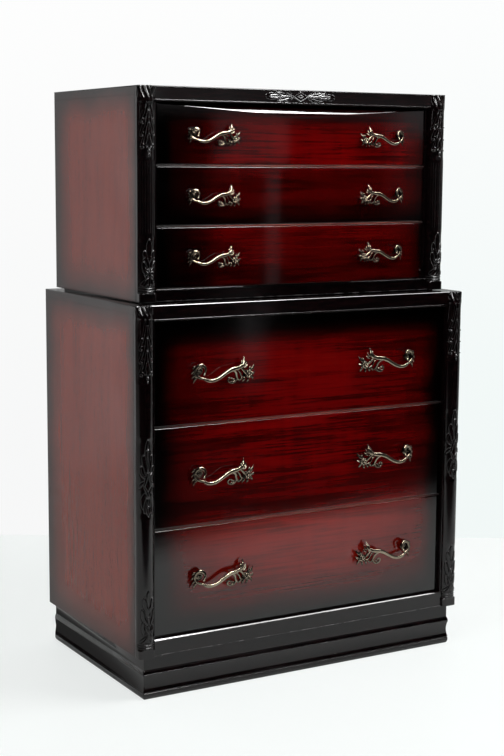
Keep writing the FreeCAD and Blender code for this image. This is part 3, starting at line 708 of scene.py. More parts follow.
def caseBoards():
    # each board a little inside its solid; the top's upper skin is the dark one, with a bevel along the front
    tuck = boardSet["tuck"]
    for case in cases:
        low, high = sidesOf(case + "_sides")
        inner = high[0] - boardSet["thick"]
        board = roundedBlock((inner, low[1] + 2 * tuck, low[2] + tuck), high - np.array([1.5, 1, 1]) * tuck,
                             boardSet["round"])
        putPiece(case + "SidePanels", [board, mirroredPart(board)], [panelFinishes[case]], (case + "_sides",))
        low, high = sidesOf(case + "_top_board")
        front, foot, head = frontOf(case) + tuck, high[2] - boardSet["skin"], high[2]
        depth, rise = boardSet["bevel"]
        corners = [(high[1], foot), (front, foot), (front, head - rise), (front + depth, head), (high[1], head)]
        skin = acrossBar(low[0], high[0], roundedProfile(corners, boardSet["skinEase"]))
        board = roundedBlock((low[0] + 1.5 * tuck, low[1] + 3 * tuck, low[2]),
                             (high[0] - 1.5 * tuck, high[1] - 4 * tuck, foot + 1.0), 0.2)
        putPiece(case + "Top", [skin, board], [lacquer, panelFinishes[case]], (case + "_top_board",),
                 finishOf=[0, 1])


caseBoards()
print("case boards made")

# rails
railSet = {"recess": 1.5, "bead": 3.5, "beadEase": 0.5, "step": 0.4, "ease": 0.4, "innerEase": 0.3,
           "footRound": 1.2, "arrisHighlightReach": 1.4, "bevel": {"lower": (3.4, 3.1), "upper": (1.2, 1.1)}}


def railPiece(case, end):
    # The rail's section carried across the case. A top rail has its bead at the foot, a bottom rail has it at
    # the head with a bevel over it, and along its lower arris a pale line is painted, a painted highlight.
    look, node = railSet, f"{case}_{end}_rail"
    low, high = sidesOf(node)
    front, back, foot, head = low[1], high[1], low[2], high[2]
    face = front + look["recess"]
    bead, step, ease, inner = (look[key] for key in ("bead", "step", "ease", "innerEase"))
    if end == "top":
        head = head - boardSet["skin"] + 0.2
        corners = [(back, foot), (front, foot), (front, foot + bead), (face, foot + bead + step),
                   (face, head), (back, head)]
        radii = [ease, look["beadEase"], look["beadEase"], inner, inner, inner]
    else:
        depth, rise = look["bevel"][case]
        corners = [(back, foot), (face, foot), (face, foot + 2 * look["footRound"]), (face, head - bead - step),
                   (front, head - bead), (front, head - rise), (front + depth, head), (back, head)]
        radii = [ease, look["footRound"], 0.05, inner, 0.2, inner, ease, ease]
    points, quads = acrossBar(low[0], high[0], roundedProfile(corners, radii))
    # painted highlight: a pale line along a bottom rail's lower arris
    near = np.hypot(points[:, 1] - face, points[:, 2] - foot)
    wearAndSheen = np.where((near < look["arrisHighlightReach"]) & (end == "bottom"), 1.0, 0.0)
    putPiece(case + end.capitalize() + "Rail", [(points, quads)], [paintedHighlightLacquer], (node,),
             values={"raised": wearAndSheen})


for case in cases:
    for end in ("top", "bottom"):
        railPiece(case, end)
print("rails made")

# drawer fronts
frontSet = {"ease": 1.3, "endInset": 0.25, "gap": 1.0, "bow": 18.0, "bowHalf": 374.5,
            "rollHeight": 31.0, "rollDepth": 37.0, "rollRows": (34, 1, 40), "bowSteps": 61}


def bowCurve(x):
    # how far the bowed face stands in front of its ends: an arc over the front's width
    half, bow = frontSet["bowHalf"], frontSet["bow"]
    radius = (half * half + bow * bow) / (2 * bow)
    return np.sqrt(np.maximum(radius * radius - x * x, 0)) - (radius - bow)


def bowOf(case):
    return frontSet["bow"] if case == "upper" else 0.0


def drawerFronts():
    # The upper fronts are bowed. The uppermost one's top edge rolls back as a quarter ellipse behind the crest:
    # depth = d (1 - sqrt(1 - (rise / h)^2)).
    for case, level in drawers:
        drawer = f"{case}_{level}_drawer"
        low, high = sidesOf(drawer + "_front")
        inset, ends, head = frontSet["endInset"], low[1] + bowOf(case), high[2]
        rolled = (case, level) == ("upper", "top")
        under, over, count = frontSet["rollRows"]
        xs = np.linspace(low[0], high[0], frontSet["bowSteps"]) if case == "upper" else None
        zs = np.linspace(head - under, head - over, count) if rolled else None
        points, quads = roundedBlock((low[0] + inset, ends, low[2]), high - np.array([inset, 0, 0]),
                                     frontSet["ease"], 4, (xs, None, zs))
        if case == "upper":
            points = bowed(points, ends, high[1])
        if rolled:
            rise = np.clip((points[:, 2] - head) / frontSet["rollHeight"] + 1, 0, 1)
            back = low[1] + frontSet["rollDepth"] * (1 - np.sqrt(1 - rise ** 2))
            points[:, 1] = np.where(rise > 0, np.maximum(points[:, 1], back), points[:, 1])
        putPiece(case + level.capitalize() + "Front", [(points, quads)], [frontFinishes[case]],
                 (drawer + "_front",), drawer)


drawerFronts()
print("drawer fronts made")

# plinth
# The section from the top edge round to the back, by rows of (depth behind the crest, height, radius of the
# corner, swell of the stretch that follows); no height means the top edge.
plinthSet = {
    "section": ((3.5, None, 0.4, 0), (3.5, 70.0, 1.0, 0.8), (0, 58.0, 2.0, -0.8), (3.5, 37.0, 1.2, -0.8),
                (0, 16.7, 0.8, 0), (2.0, 15.5, 0.3, 0), (0, 14.3, 0.8, 0), (0, 9.0, 1.5, 0.8),
                (3.0, 0.0, 0.3, 0), (22.0, 0.0, 0.3, 0), (22.0, None, 0.3, 0)),
    "mitreEase": ((0.0, 4.0), (0.0, 1.6), (0.12, 0.7), (0.45, 0.45), (0.7, 0.12), (1.6, 0.0), (4.0, 0.0)),
}


def plinthOutline(top):
    # the section's corners, with a shallow parabola along each stretch that swells: 4 s t (1 - t) forward
    corners, radii = [], []
    rows = [(depth, top if height is None else height, *rest) for depth, height, *rest in plinthSet["section"]]
    t = np.linspace(0, 1, 9)[1:-1, None]
    for (depth, height, radius, swell), after in zip(rows, rows[1:] + rows[:1]):
        corners.append((depth, height))
        radii.append(radius)
        if swell:
            line = np.array([depth, height]) * (1 - t) + np.array(after[:2]) * t
            line[:, 0] -= 4 * swell * (t * (1 - t))[:, 0]
            corners += line.tolist()
            radii += [0.001] * len(line)
    return roundedProfile(corners, radii)


def plinthMoulding():
    # the section carried round the three shown sides, its depth turned in along both sides at the eased mitres
    low, high = sidesOf("plinth_front")
    outline = plinthOutline(high[2])
    half, front, rear = high[0], low[1], sidesOf("plinth_sides")[1][1]
    leftCorner = np.array([-half, front]) + np.array(plinthSet["mitreEase"])
    turnIn = np.array([(1, 0), (1, 0), (1, 1), (1, 1), (1, 1), (0, 1), (0, 1)], float)
    rightCorner = (leftCorner * (-1, 1))[::-1]
    places = np.concatenate([[(-half, rear)], leftCorner, [(0, front)], rightCorner, [(half, rear)]])
    inward = np.concatenate([[(1, 0)], turnIn, [(0, 1)], (turnIn * (-1, 1))[::-1], [(-1, 0)]])
    rings = np.empty((len(places), len(outline), 3))
    rings[..., :2] = places[:, None, :] + outline[None, :, :1] * inward[:, None, :]
    rings[..., 2] = outline[None, :, 1]
    depth, last = outline[:, 0], len(places) - 1
    for near in (1, 2):  # the rings beside a corner keep to its mitre: those of the side runs
        for ring in (near, last - near):
            rings[ring, :, 1] = places[ring, 1] + depth
    for near in (6, 7):  # and those of the front run
        rings[near, :, 0] = places[near, 0] + depth
        rings[last - near, :, 0] = places[last - near, 0] - depth
    putPiece("plinthMoulding", [outward(capped(rings))], [lacquer], ("plinth_front", "plinth_sides"))


plinthMoulding()
print("plinth made")

# corner stiles and dividers
stripSet = {"ease": 0.7, "columnWidth": 42.4, "stileDepth": 25.0, "opening": {"lower": 412.0, "upper": 376.0},
            "recess": {"lower": 3.0, "upper": 14.0}}
bladeSet = {"ease": 0.5, "high": 3.5, "recess": 1.0, "away": 0.3, "root": 4.0, "trim": 0.05,
            "step": 7.0, "body": 20.0, "whole": 57.0}


def cornerStiles():
    # beside each column a strip that shows, and behind it the post that the case is built on
    parts, ease = [], stripSet["ease"]
    for case in cases:
        low, high = sidesOf(case + "_sides")
        opening = stripSet["opening"][case]
        foot, head = sidesOf(case + "_bottom_rail")[1][2], sidesOf(case + "_top_rail")[0][2]
        strip = roundedBlock((opening, frontOf(case) + stripSet["recess"][case], foot),
                             (high[0] - stripSet["columnWidth"], low[1], head), ease)
        post = roundedBlock((opening, low[1], low[2] + boardSet["thick"]),
                            (high[0] - boardSet["thick"], low[1] + stripSet["stileDepth"], high[2]), ease)
        parts += [strip, post, mirroredPart(strip), mirroredPart(post)]
    putPiece("cornerStiles", parts, [lacquer], ("corner_stiles",))


def drawerDividers():
    # a thin blade that shows between two fronts, bowed in the upper case, on a rail whose ears reach the sides
    parts, finishOf, look = [], [], bladeSet
    for case, opening in stripSet["opening"].items():
        inside = sidesOf(case + "_sides")[1][0] - boardSet["thick"]
        for under in ("bottom", "middle"):
            low, high = sidesOf(f"{case}_{under}_drawer_front")
            foot, rear = high[2] + frontSet["gap"], high[1] + look["away"]
            head, ends = foot + look["high"], low[1] + bowOf(case) + look["recess"]
            xs = np.linspace(-opening, opening, frontSet["bowSteps"]) if case == "upper" else None
            points, quads = roundedBlock((-opening, ends, foot + look["trim"]),
                                         (opening, rear + look["root"], head - look["trim"]),
                                         look["ease"], 5, (xs, None, None))
            parts.append((bowed(points, ends, rear) if case == "upper" else points, quads))
            foot, head = foot - look["step"], head + look["step"]
            for half, start, end in ((opening, 0, look["body"]),
                                     (inside, look["body"] - look["away"], look["whole"])):
                near, far = (-half, rear + start, foot), (half, rear + end, head)
                parts.append(roundedBlock(near, far, stripSet["ease"]))
            finishOf += [1 + cases.index(case), 0, 0]
    putPiece("drawerDividers", parts, [lacquer, *bladeFinishes], ("drawer_dividers",), finishOf=finishOf)


cornerStiles()
drawerDividers()
print("stiles and dividers made")

# carved columns


def smoothLine(points, count):
    # a Catmull-Rom curve through the points, evenly stepped from the first to the last
    points = np.array(points, float)
    t = np.linspace(0, len(points) - 1, count)
    i = np.clip(t.astype(int), 0, len(points) - 2)
    f = (t - i)[:, None]
    ends = np.concatenate([2 * points[:1] - points[1:2], points, 2 * points[-1:] - points[-2:-1]])
    a, b, c, d = ends[i], ends[i + 1], ends[i + 2], ends[i + 3]
    return 0.5 * (2 * b + (c - a) * f + (2 * a - 5 * b + 4 * c - d) * f ** 2 + (3 * b - a - 3 * c + d) * f ** 3)


def carved(field, rows, inside, height, excess, groove):
    # lays a raised form over what lies beneath it, with a groove round its outline, wider where it is deeper
    cut = np.exp(-(np.maximum(excess, 0) / (0.75 + 0.5 * groove)) ** 2)
    field[rows] = np.where(inside, height, field[rows] * (1 - cut) - groove * cut)


def carveLobe(field, across, up, path, width, lift, vein=0.0, point=0.5, groove=1.25):
    # Raises a lobe along a curved line: height = lift * sqrt(1 - (gap / half)^2), less a vein down the middle.
    # The half-width swells from the root to its full size at 0.7 of the way and closes at the tip, the more
    # pointed the higher the point's value. A negative lift sinks the lobe.
    line = smoothLine(path, 18)
    reach = width + 2.5
    rows = (up[:, 0] > line[:, 1].min() - reach) & (up[:, 0] < line[:, 1].max() + reach)
    if not rows.any():
        return
    here = np.stack([across[rows], up[rows]], -1)[..., None, :]
    start, run = line[:-1], line[1:] - line[:-1]
    along = np.clip(((here - start) * run).sum(-1) / (run ** 2).sum(-1), 0, 1)
    gap = np.linalg.norm(here - start - along[..., None] * run, axis=-1)
    share = (np.arange(len(run)) + along) / len(run) - 0.7
    share = np.where(share < 0, share / 0.74, share / 0.31)
    half = np.maximum(width * np.clip(1 - share ** 2, 0, 1) ** point, 0.05)
    ratio = (gap / half).min(-1)
    height = lift * np.sqrt(np.clip(1 - ratio ** 2, 0, 1)) - vein * lift * np.exp(-(ratio / 0.22) ** 2)
    carved(field, rows, ratio < 1, height, (gap - half).min(-1), groove)


def carveBead(field, across, up, place, radius, lift, groove=0.8):
    # raises a round bead: height = lift * sqrt(1 - (gap / radius)^2)
    gap = np.hypot(across - place[0], up - place[1])
    height = lift * np.sqrt(np.clip(1 - (gap / radius) ** 2, 0, 1))
    carved(field, slice(None), gap < radius, height, gap - radius, groove)


def bothSides(paths):
    # the same lobes on both sides of the column's middle
    return paths + [([(-x, z) for x, z in path], *rest) for path, *rest in paths]


def hollow(path, width, lift, point=0.5):
    # a sunk lobe with no vein and no groove round it
    return path, width, lift, 0.0, point, 0.0


def hangingLeaf(top, tips, foot):
    # slender hollow tongues in pairs that hang from the column's middle and curl outward, a bar under each tip
    lobes = [hollow([(20.5, top), (21.0, top - 22), (21.5, top - 38), (25.5, top - 50)], 3.6, -2.2),
             hollow([(6.5, top), (6.8, top - 20), (9.0, top - 36), (14.5, top - 48)], 3.5, -2.2)]
    for reach, tip in tips:
        root = min(tip + 46, top)
        lobes += [hollow([(reach + 1.5, tip + 17), (reach + 5, tip + 3), (reach + 9.5, tip - 6)], 2.7, -2.0),
                  hollow([(1.8, root), (4.6, tip + 24), (8.6, tip + 9), (reach, tip)], 3.7, -2.6),
                  hollow([(0.8, tip + 22), (3.0, tip + 8), (reach - 5.5, tip - 6)], 2.5, -2.0),
                  ([(reach + 1.5, tip - 8), (reach + 7.5, tip - 8.5)], 1.9, 2.0)]
    last = tips[-1][1]
    return bothSides(lobes) + [([(0, last + 22), (0, last + 8), (0, foot)], 3.0, 2.2, 0.3)]


def risingLeaf(tip, heart, lobes, waist, foot):
    # A pointed leaf that stands up between fat lobes curling outward; its stems cross at the waist and
    # flare over the foot. The lobes are given by their outermost places, from the top down.
    grown = []
    for reach, z, width in lobes:
        path = [(3.2, z - 34), (reach - 6.5, z - 21), (reach - 1.2, z - 8), (reach + 0.6, z + 9)]
        grown.append((path, width, 2.4, 0.25))
    grown += [([(9.0, waist - 11), (5.0, waist), (1.5, waist + 12)], 1.9, 1.9),
              ([(1.2, waist - 10), (5.0, waist + 1), (9.5, waist + 13)], 1.9, 2.1),
              ([(5.5, waist - 12), (12.0, foot + 10), (22.0, foot + 3)], 3.2, 2.0, 0.2),
              ([(1.6, waist - 7), (3.4, foot + 15), (8.5, foot + 6), (15.5, foot + 1)], 3.0, 2.2, 0.25)]
    blade = ([(0, waist + 4), (0, heart), (0, tip - 20), (0, tip)], 6.6, 2.2, 0.45, 0.8)
    return [blade] + bothSides(grown) + [([(0, waist + 2), (0, foot + 12), (0, foot + 1)], 2.6, 2.2)]


def doubleLeaf(middle):
    # two leaves back to back: fat lobes above and below the middle, with strokes between them
    lobes = [([(1.0, 34), (4.6, 62), (4.4, 80), (0.5, 102)], 2.5, 2.0),
             ([(3.0, 20), (7.0, 36), (10.2, 50), (11.2, 67)], 5.0, 2.4, 0.3),
             ([(2.0, 18), (9.0, 19), (15.5, 26), (17.2, 42)], 5.2, 2.4, 0.3),
             ([(7.0, 6), (15.0, 1), (23.0, -9)], 3.2, 2.0, 0.2),
             ([(1.2, 27), (5.0, 12), (9.0, -4)], 2.1, 2.3),
             ([(4.0, -20), (10.0, -30), (13.2, -42), (12.6, -56)], 5.6, 2.4, 0.3),
             ([(2.6, -34), (6.0, -50), (8.5, -66)], 3.4, 2.1, 0.2),
             ([(9.6, -6), (4.4, -17), (0.4, -28)], 2.4, 2.3),
             ([(0.8, -34), (3.8, -50), (3.6, -60), (0.4, -74)], 2.3, 2.0)]
    return bothSides([([(x, middle + z) for x, z in path], *rest) for path, *rest in lobes])


# heights from the floor; zones are the carved stretches, beads are (across, height, radius, lift)
columnSet = {
    "lower": {"gouges": 28, "rings": (128.5, 134.5), "reeds": None,
              "zones": ((745, 921), (435, 622), (103, 268)),
              "leaves": hangingLeaf(894, ((13.0, 831), (12.8, 802), (12.0, 773)), 764) + doubleLeaf(515)
              + risingLeaf(265, 225, ((10.2, 239, 5.4), (15.0, 212, 5.5), (13.4, 181, 5.7)), 171, 141),
              "beads": ((0, 758, 3.4, 2.2), (0, 750, 2.3, 1.6), (0, 593, 3.0, 2.4), (0, 462, 2.6, 2.2))},
    "upper": {"gouges": 36, "rings": (949.5, 955.5), "reeds": (1250, 1070),
              "zones": ((1248, 1411), (924, 1072)),
              "leaves": hangingLeaf(1374, ((14.4, 1338), (14.2, 1308), (12.0, 1281)), 1272)
              + risingLeaf(1068, 1030, ((11.2, 1033, 4.8), (14.0, 1009, 4.8)), 990, 961),
              "beads": ((0, 1266, 3.2, 2.2), (0, 1257, 2.3, 1.6), (13.4, 1025, 2.0, 2.0),
                        (-13.4, 1025, 2.0, 2.0), (4.5, 998, 2.4, 2.2), (-4.5, 998, 2.4, 2.2))},
}
columnShape = {"width": 42.4, "flank": 8.2, "shaftIn": 1.0, "block": 21.0, "blockRise": 16.2,
               "blockSquare": 5.0, "ringHalf": 1.7, "ringGroove": 0.9, "ground": 0.6, "lift": 0.8,
               "reedDepth": 0.9, "reedPitch": 6.5,
               "scoopPitch": 10.4, "scoopWidth": 5.0, "scoopDepth": 6.5, "scoopSlant": 11.0, "fade": 0.55,
               "back": 17.85, "backStart": 12.5, "backEase": 0.5, "topEase": 1.2, "topStart": 1.5,
               "topTuck": 0.3, "zoneSoft": 12, "reedSoft": 6, "blockSoft": 1.2, "headUnder": 8,
               "headSoft": 16, "grooveAway": 0.6, "grooveHalf": 0.7, "fullRelief": 2.2, "turns": 91}


def zLines(low, high, zones, fine=0.8, coarse=9.0):
    # close rows where the column is carved, wide ones where it is plain
    rows = [np.linspace(low, high, int((high - low) / coarse) + 2)]
    rows += [np.linspace(max(a, low), min(b, high), int((b - a) / fine)) for a, b in zones]
    rows = np.unique(np.round(np.concatenate(rows), 2))
    return rows[np.concatenate([[True], np.diff(rows) > 0.3])]


def between(up, low, high, soft):
    # 1 between two heights, with a straight slope inside each of them
    return np.clip((up - low) / soft, 0, 1) * np.clip((high - up) / soft, 0, 1)


def columnRelief(look, across, up, top):
    # The carving's height over the plain half round, by the place along its arc and the height. Round the
    # head run slanting scoops, each deepest at the top: depth = d t^1.5 sqrt(1 - (gap / half)^2).
    shape, field = columnShape, np.zeros_like(across)
    for lobe in look["leaves"]:
        carveLobe(field, across, up, *lobe)
    for x, z, radius, lift in look["beads"]:
        carveBead(field, across, up, (x, z), radius, lift)
    field *= shape["lift"]
    for low, high in look["zones"]:
        field -= shape["ground"] * between(up, low, high, shape["zoneSoft"])
    if look["reeds"]:
        reedTop, reedFoot = look["reeds"]
        reed = 1 - np.abs(np.cos(across * math.pi / shape["reedPitch"]))
        field -= between(up, reedFoot, reedTop, shape["reedSoft"]) * shape["reedDepth"] * reed
    rim, pitch = top - look["gouges"], shape["scoopPitch"]
    climb = np.clip((up - rim) / look["gouges"], 0, 1)
    gap = (across + shape["scoopSlant"] * climb + pitch / 4) % pitch - pitch / 2
    half = shape["scoopWidth"] * np.sqrt(climb) + 0.01
    scoops = shape["scoopDepth"] * climb ** 1.5 * np.sqrt(np.clip(1 - (gap / half) ** 2, 0, 1))
    return field * (1 - np.clip((up - rim + 3) / 4, 0, 1)) - scoops


def columnSurface(case):
    # A half round about an upright line: place = centre + r (sin a, -cos a), with r the section's radius plus
    # the carving. At the foot r turns the round into a block: r = (|cos a / rise|^p + |sin a / half|^p)^(-1/p).
    # Rings and cap are the same round moved forward. The loop closes round the flanks and the flat back.
    look, shape = columnSet[case], columnShape
    low, high = sidesOf(case + "_columns")
    front, head, half = frontOf(case), sidesOf(case + "_top_rail")[0][2], shape["width"] / 2
    z = zLines(low[2], high[2] - shape["topTuck"], look["zones"])
    turn = np.linspace(-math.pi / 2, math.pi / 2, shape["turns"])
    angle, up = np.meshgrid(turn, z)
    relief = columnRelief(look, angle * half, up, high[2])
    block = np.clip((low[2] + shape["block"] - up) / shape["blockSoft"], 0, 1)
    power = shape["blockSquare"]
    square = np.abs(np.cos(angle) / shape["blockRise"]) ** power + np.abs(np.sin(angle) / half) ** power
    square = square ** (-1 / power)
    forward = np.clip((up - head + shape["headUnder"]) / shape["headSoft"], 0, 1)
    for ring in look["rings"]:
        away = np.abs(up - ring)
        forward = np.maximum(forward, np.sqrt(np.clip(1 - (away / shape["ringHalf"]) ** 2, 0, 1)))
        beside = (away - shape["ringHalf"] - shape["grooveAway"]) / shape["grooveHalf"]
        relief -= shape["ringGroove"] * np.exp(-beside ** 2) * (1 - block)
    forward = np.maximum(forward, block)
    fade = np.clip((math.pi / 2 - np.abs(angle)) / shape["fade"], 0, 1)
    climb = np.clip((up - high[2] + shape["topStart"]) / shape["topEase"], 0, 1)
    reach = half + (square - half) * block + relief * fade * (1 - block)
    reach = reach - shape["topEase"] * (1 - np.sqrt(np.clip(1 - climb ** 2, 0, 1)))
    back, ease = shape["back"], shape["backEase"]
    flatX = np.array([half, half, half - ease, ease - half, -half, -half])
    flatY = np.array([shape["backStart"], back - ease, back, back, back - ease, shape["backStart"]])
    rings = np.empty((len(z), len(turn) + len(flatX), 3))
    rings[:, :len(turn), 0] = reach * np.sin(angle)
    rings[:, :len(turn), 1] = front + shape["flank"] + shape["shaftIn"] * (1 - forward) - reach * np.cos(angle)
    rings[:, len(turn):, 0] = flatX
    rings[:, len(turn):, 1] = front + flatY
    rings[..., 2] = z[:, None]
    raised = np.zeros(rings.shape[:2])
    raised[:, :len(turn)] = np.clip(relief / shape["fullRelief"], -1, 1)
    return rings, raised, high[0] - half


def withEnds(value):
    # values of a capped piece's wall, and after them those of its two fans, whose middles get 0
    return np.concatenate([value.reshape(-1), value[0], value[0] * 0, value[-1], value[-1] * 0])


def columns():
    for case in cases:
        rings, raised, middle = columnSurface(case)
        points, quads = outward(capped(rings))
        for side, word in ((1, "Right"), (-1, "Left")):
            putPiece(case + word + "Column", [(points + np.array([side * middle, 0, 0]), quads)], [lacquer],
                     (case + "_columns",), values={"raised": withEnds(raised)})


columns()
print("columns carved")

# carving on the upper top rail
ornamentSet = {
    "half": 97.0, "rise": 15.2, "centre": 18.0, "proud": 0.2, "hidden": 0.7, "crest": 1.5, "behind": 3.0,
    "points": (260, 52),
    "diamond": {"half": 23.0, "rise": 12.8, "floor": 0.3, "edge": 1.02,
                "ridges": ((1.2, 0.88, 0.12), (1.0, 0.3, 0.11))},
    "lobes": [hollow([(52, 0), (66, 0.6), (82, 0.2), (94, 0.6)], 7.6, -1.1, 0.55),
              ([(58, 1.9), (70, 3.0), (84, 1.8)], 1.5, 0.5, 0.0, 0.5, 0.6),
              ([(58, -1.9), (70, -3.0), (84, -1.8)], 1.5, 0.5, 0.0, 0.5, 0.6),
              hollow([(33, 2.5), (46, 7.0), (58, 11.2), (70, 12.2)], 3.0, -1.2),
              hollow([(33, -2.5), (46, -6.0), (56, -10.4), (65, -12.4)], 3.2, -1.2),
              hollow([(21, 3), (29, 6.5), (36, 10.2), (42, 13.0)], 2.6, -1.2),
              hollow([(21, -3), (30, -7), (37, -10.6), (44, -13.0)], 2.8, -1.2),
              hollow([(24, 0.8), (36, 2.2), (50, 5.6), (61, 8.0)], 2.3, -1.1),
              hollow([(24, -0.8), (36, -2.4), (50, -5.8), (60, -8.2)], 2.3, -1.1),
              ([(26, 0), (40, 0), (56, 0)], 1.8, 0.6, 0.0, 0.5, 0.4)],
}


def railCarving():
    # A low relief of hollow petals with crests between them, laid over the rail's face; where nothing is
    # carved it lies hidden behind that face. Lobes are laid relative to the crest. In the middle stands a
    # diamond, |x| / half + |z| / rise < 1, with a ridge along its rim and one round a small diamond inside.
    look, diamond = ornamentSet, ornamentSet["diamond"]
    low = sidesOf("upper_top_rail")[0]
    face = low[1] + railSet["recess"] - look["proud"]
    across, up = np.meshgrid(*(np.linspace(-look[side], look[side], count)
                               for side, count in zip(("half", "rise"), look["points"])))
    field = np.full_like(across, -look["hidden"] - look["crest"])
    for path, *rest in look["lobes"]:
        for side in (1, -1):
            carveLobe(field, across, up, [(side * a, b) for a, b in path], *rest)
    field += look["crest"]
    share = np.abs(across) / diamond["half"] + np.abs(up) / diamond["rise"]
    inside = diamond["floor"]
    for lift, place, width in diamond["ridges"]:
        inside = inside + lift * np.exp(-((share - place) / width) ** 2)
    field = np.where(share < diamond["edge"], inside, field)
    grid = np.stack([across, face - field, low[2] + look["centre"] + up], -1)
    rear = np.stack([across[:, ::-1], np.full_like(across, face + look["behind"]), grid[:, ::-1, 2]], -1)
    # the raised relief takes the carved finish's pale grey, a painted highlight
    value = np.clip(np.concatenate([field / look["crest"], field * 0 - 1], 1), -1, 1)
    putPiece("railCarving", [outward(capped(np.concatenate([grid, rear], 1)))], [paintedHighlightLacquer],
             values={"raised": withEnds(value)})


railCarving()
print("rail carving made")

# pulls


def sweep(points, widths, heights, count=44, around=14, groove=0.0):
    # A tube along a smooth line. Its section is an ellipse, width across the line and height out of the
    # face, with a groove along its crown; both sizes run smoothly through the values given.
    line = smoothLine(points, count)
    size = smoothLine(np.stack([widths, heights], 1), count)
    size = np.maximum(size, 0.05)
    along = np.gradient(line, axis=0)
    along /= np.linalg.norm(along, axis=1)[:, None]
    out = np.array([0, 0, 1.0]) - along * along[:, 2:3]
    out /= np.linalg.norm(out, axis=1)[:, None]
    side = np.cross(along, out)
    angle = np.linspace(0, 2 * math.pi, around, endpoint=False)
    crown = 1 - groove * np.exp(-((angle - math.pi / 2) / 0.42) ** 2)
    ring = side[:, None] * (np.cos(angle) * crown)[None, :, None] * size[:, None, :1]
    ring = ring + out[:, None] * (np.sin(angle) * crown)[None, :, None] * size[:, None, 1:]
    return outward(capped(line[:, None] + ring))


def ball(centre, radii, rows, around):
    # a squashed ball in rings about the outward axis: centre + radii (sin a cos b, sin a sin b, cos a)
    height = np.cos(np.linspace(0.02, math.pi - 0.02, rows))
    spread = np.sqrt(1 - height ** 2)
    angle = np.linspace(0, 2 * math.pi, around, endpoint=False)
    ring = np.stack([spread[:, None] * np.cos(angle), spread[:, None] * np.sin(angle),
                     np.repeat(height[:, None], around, 1)], -1)
    return outward(capped(np.array(centre) + ring * np.array(radii)))


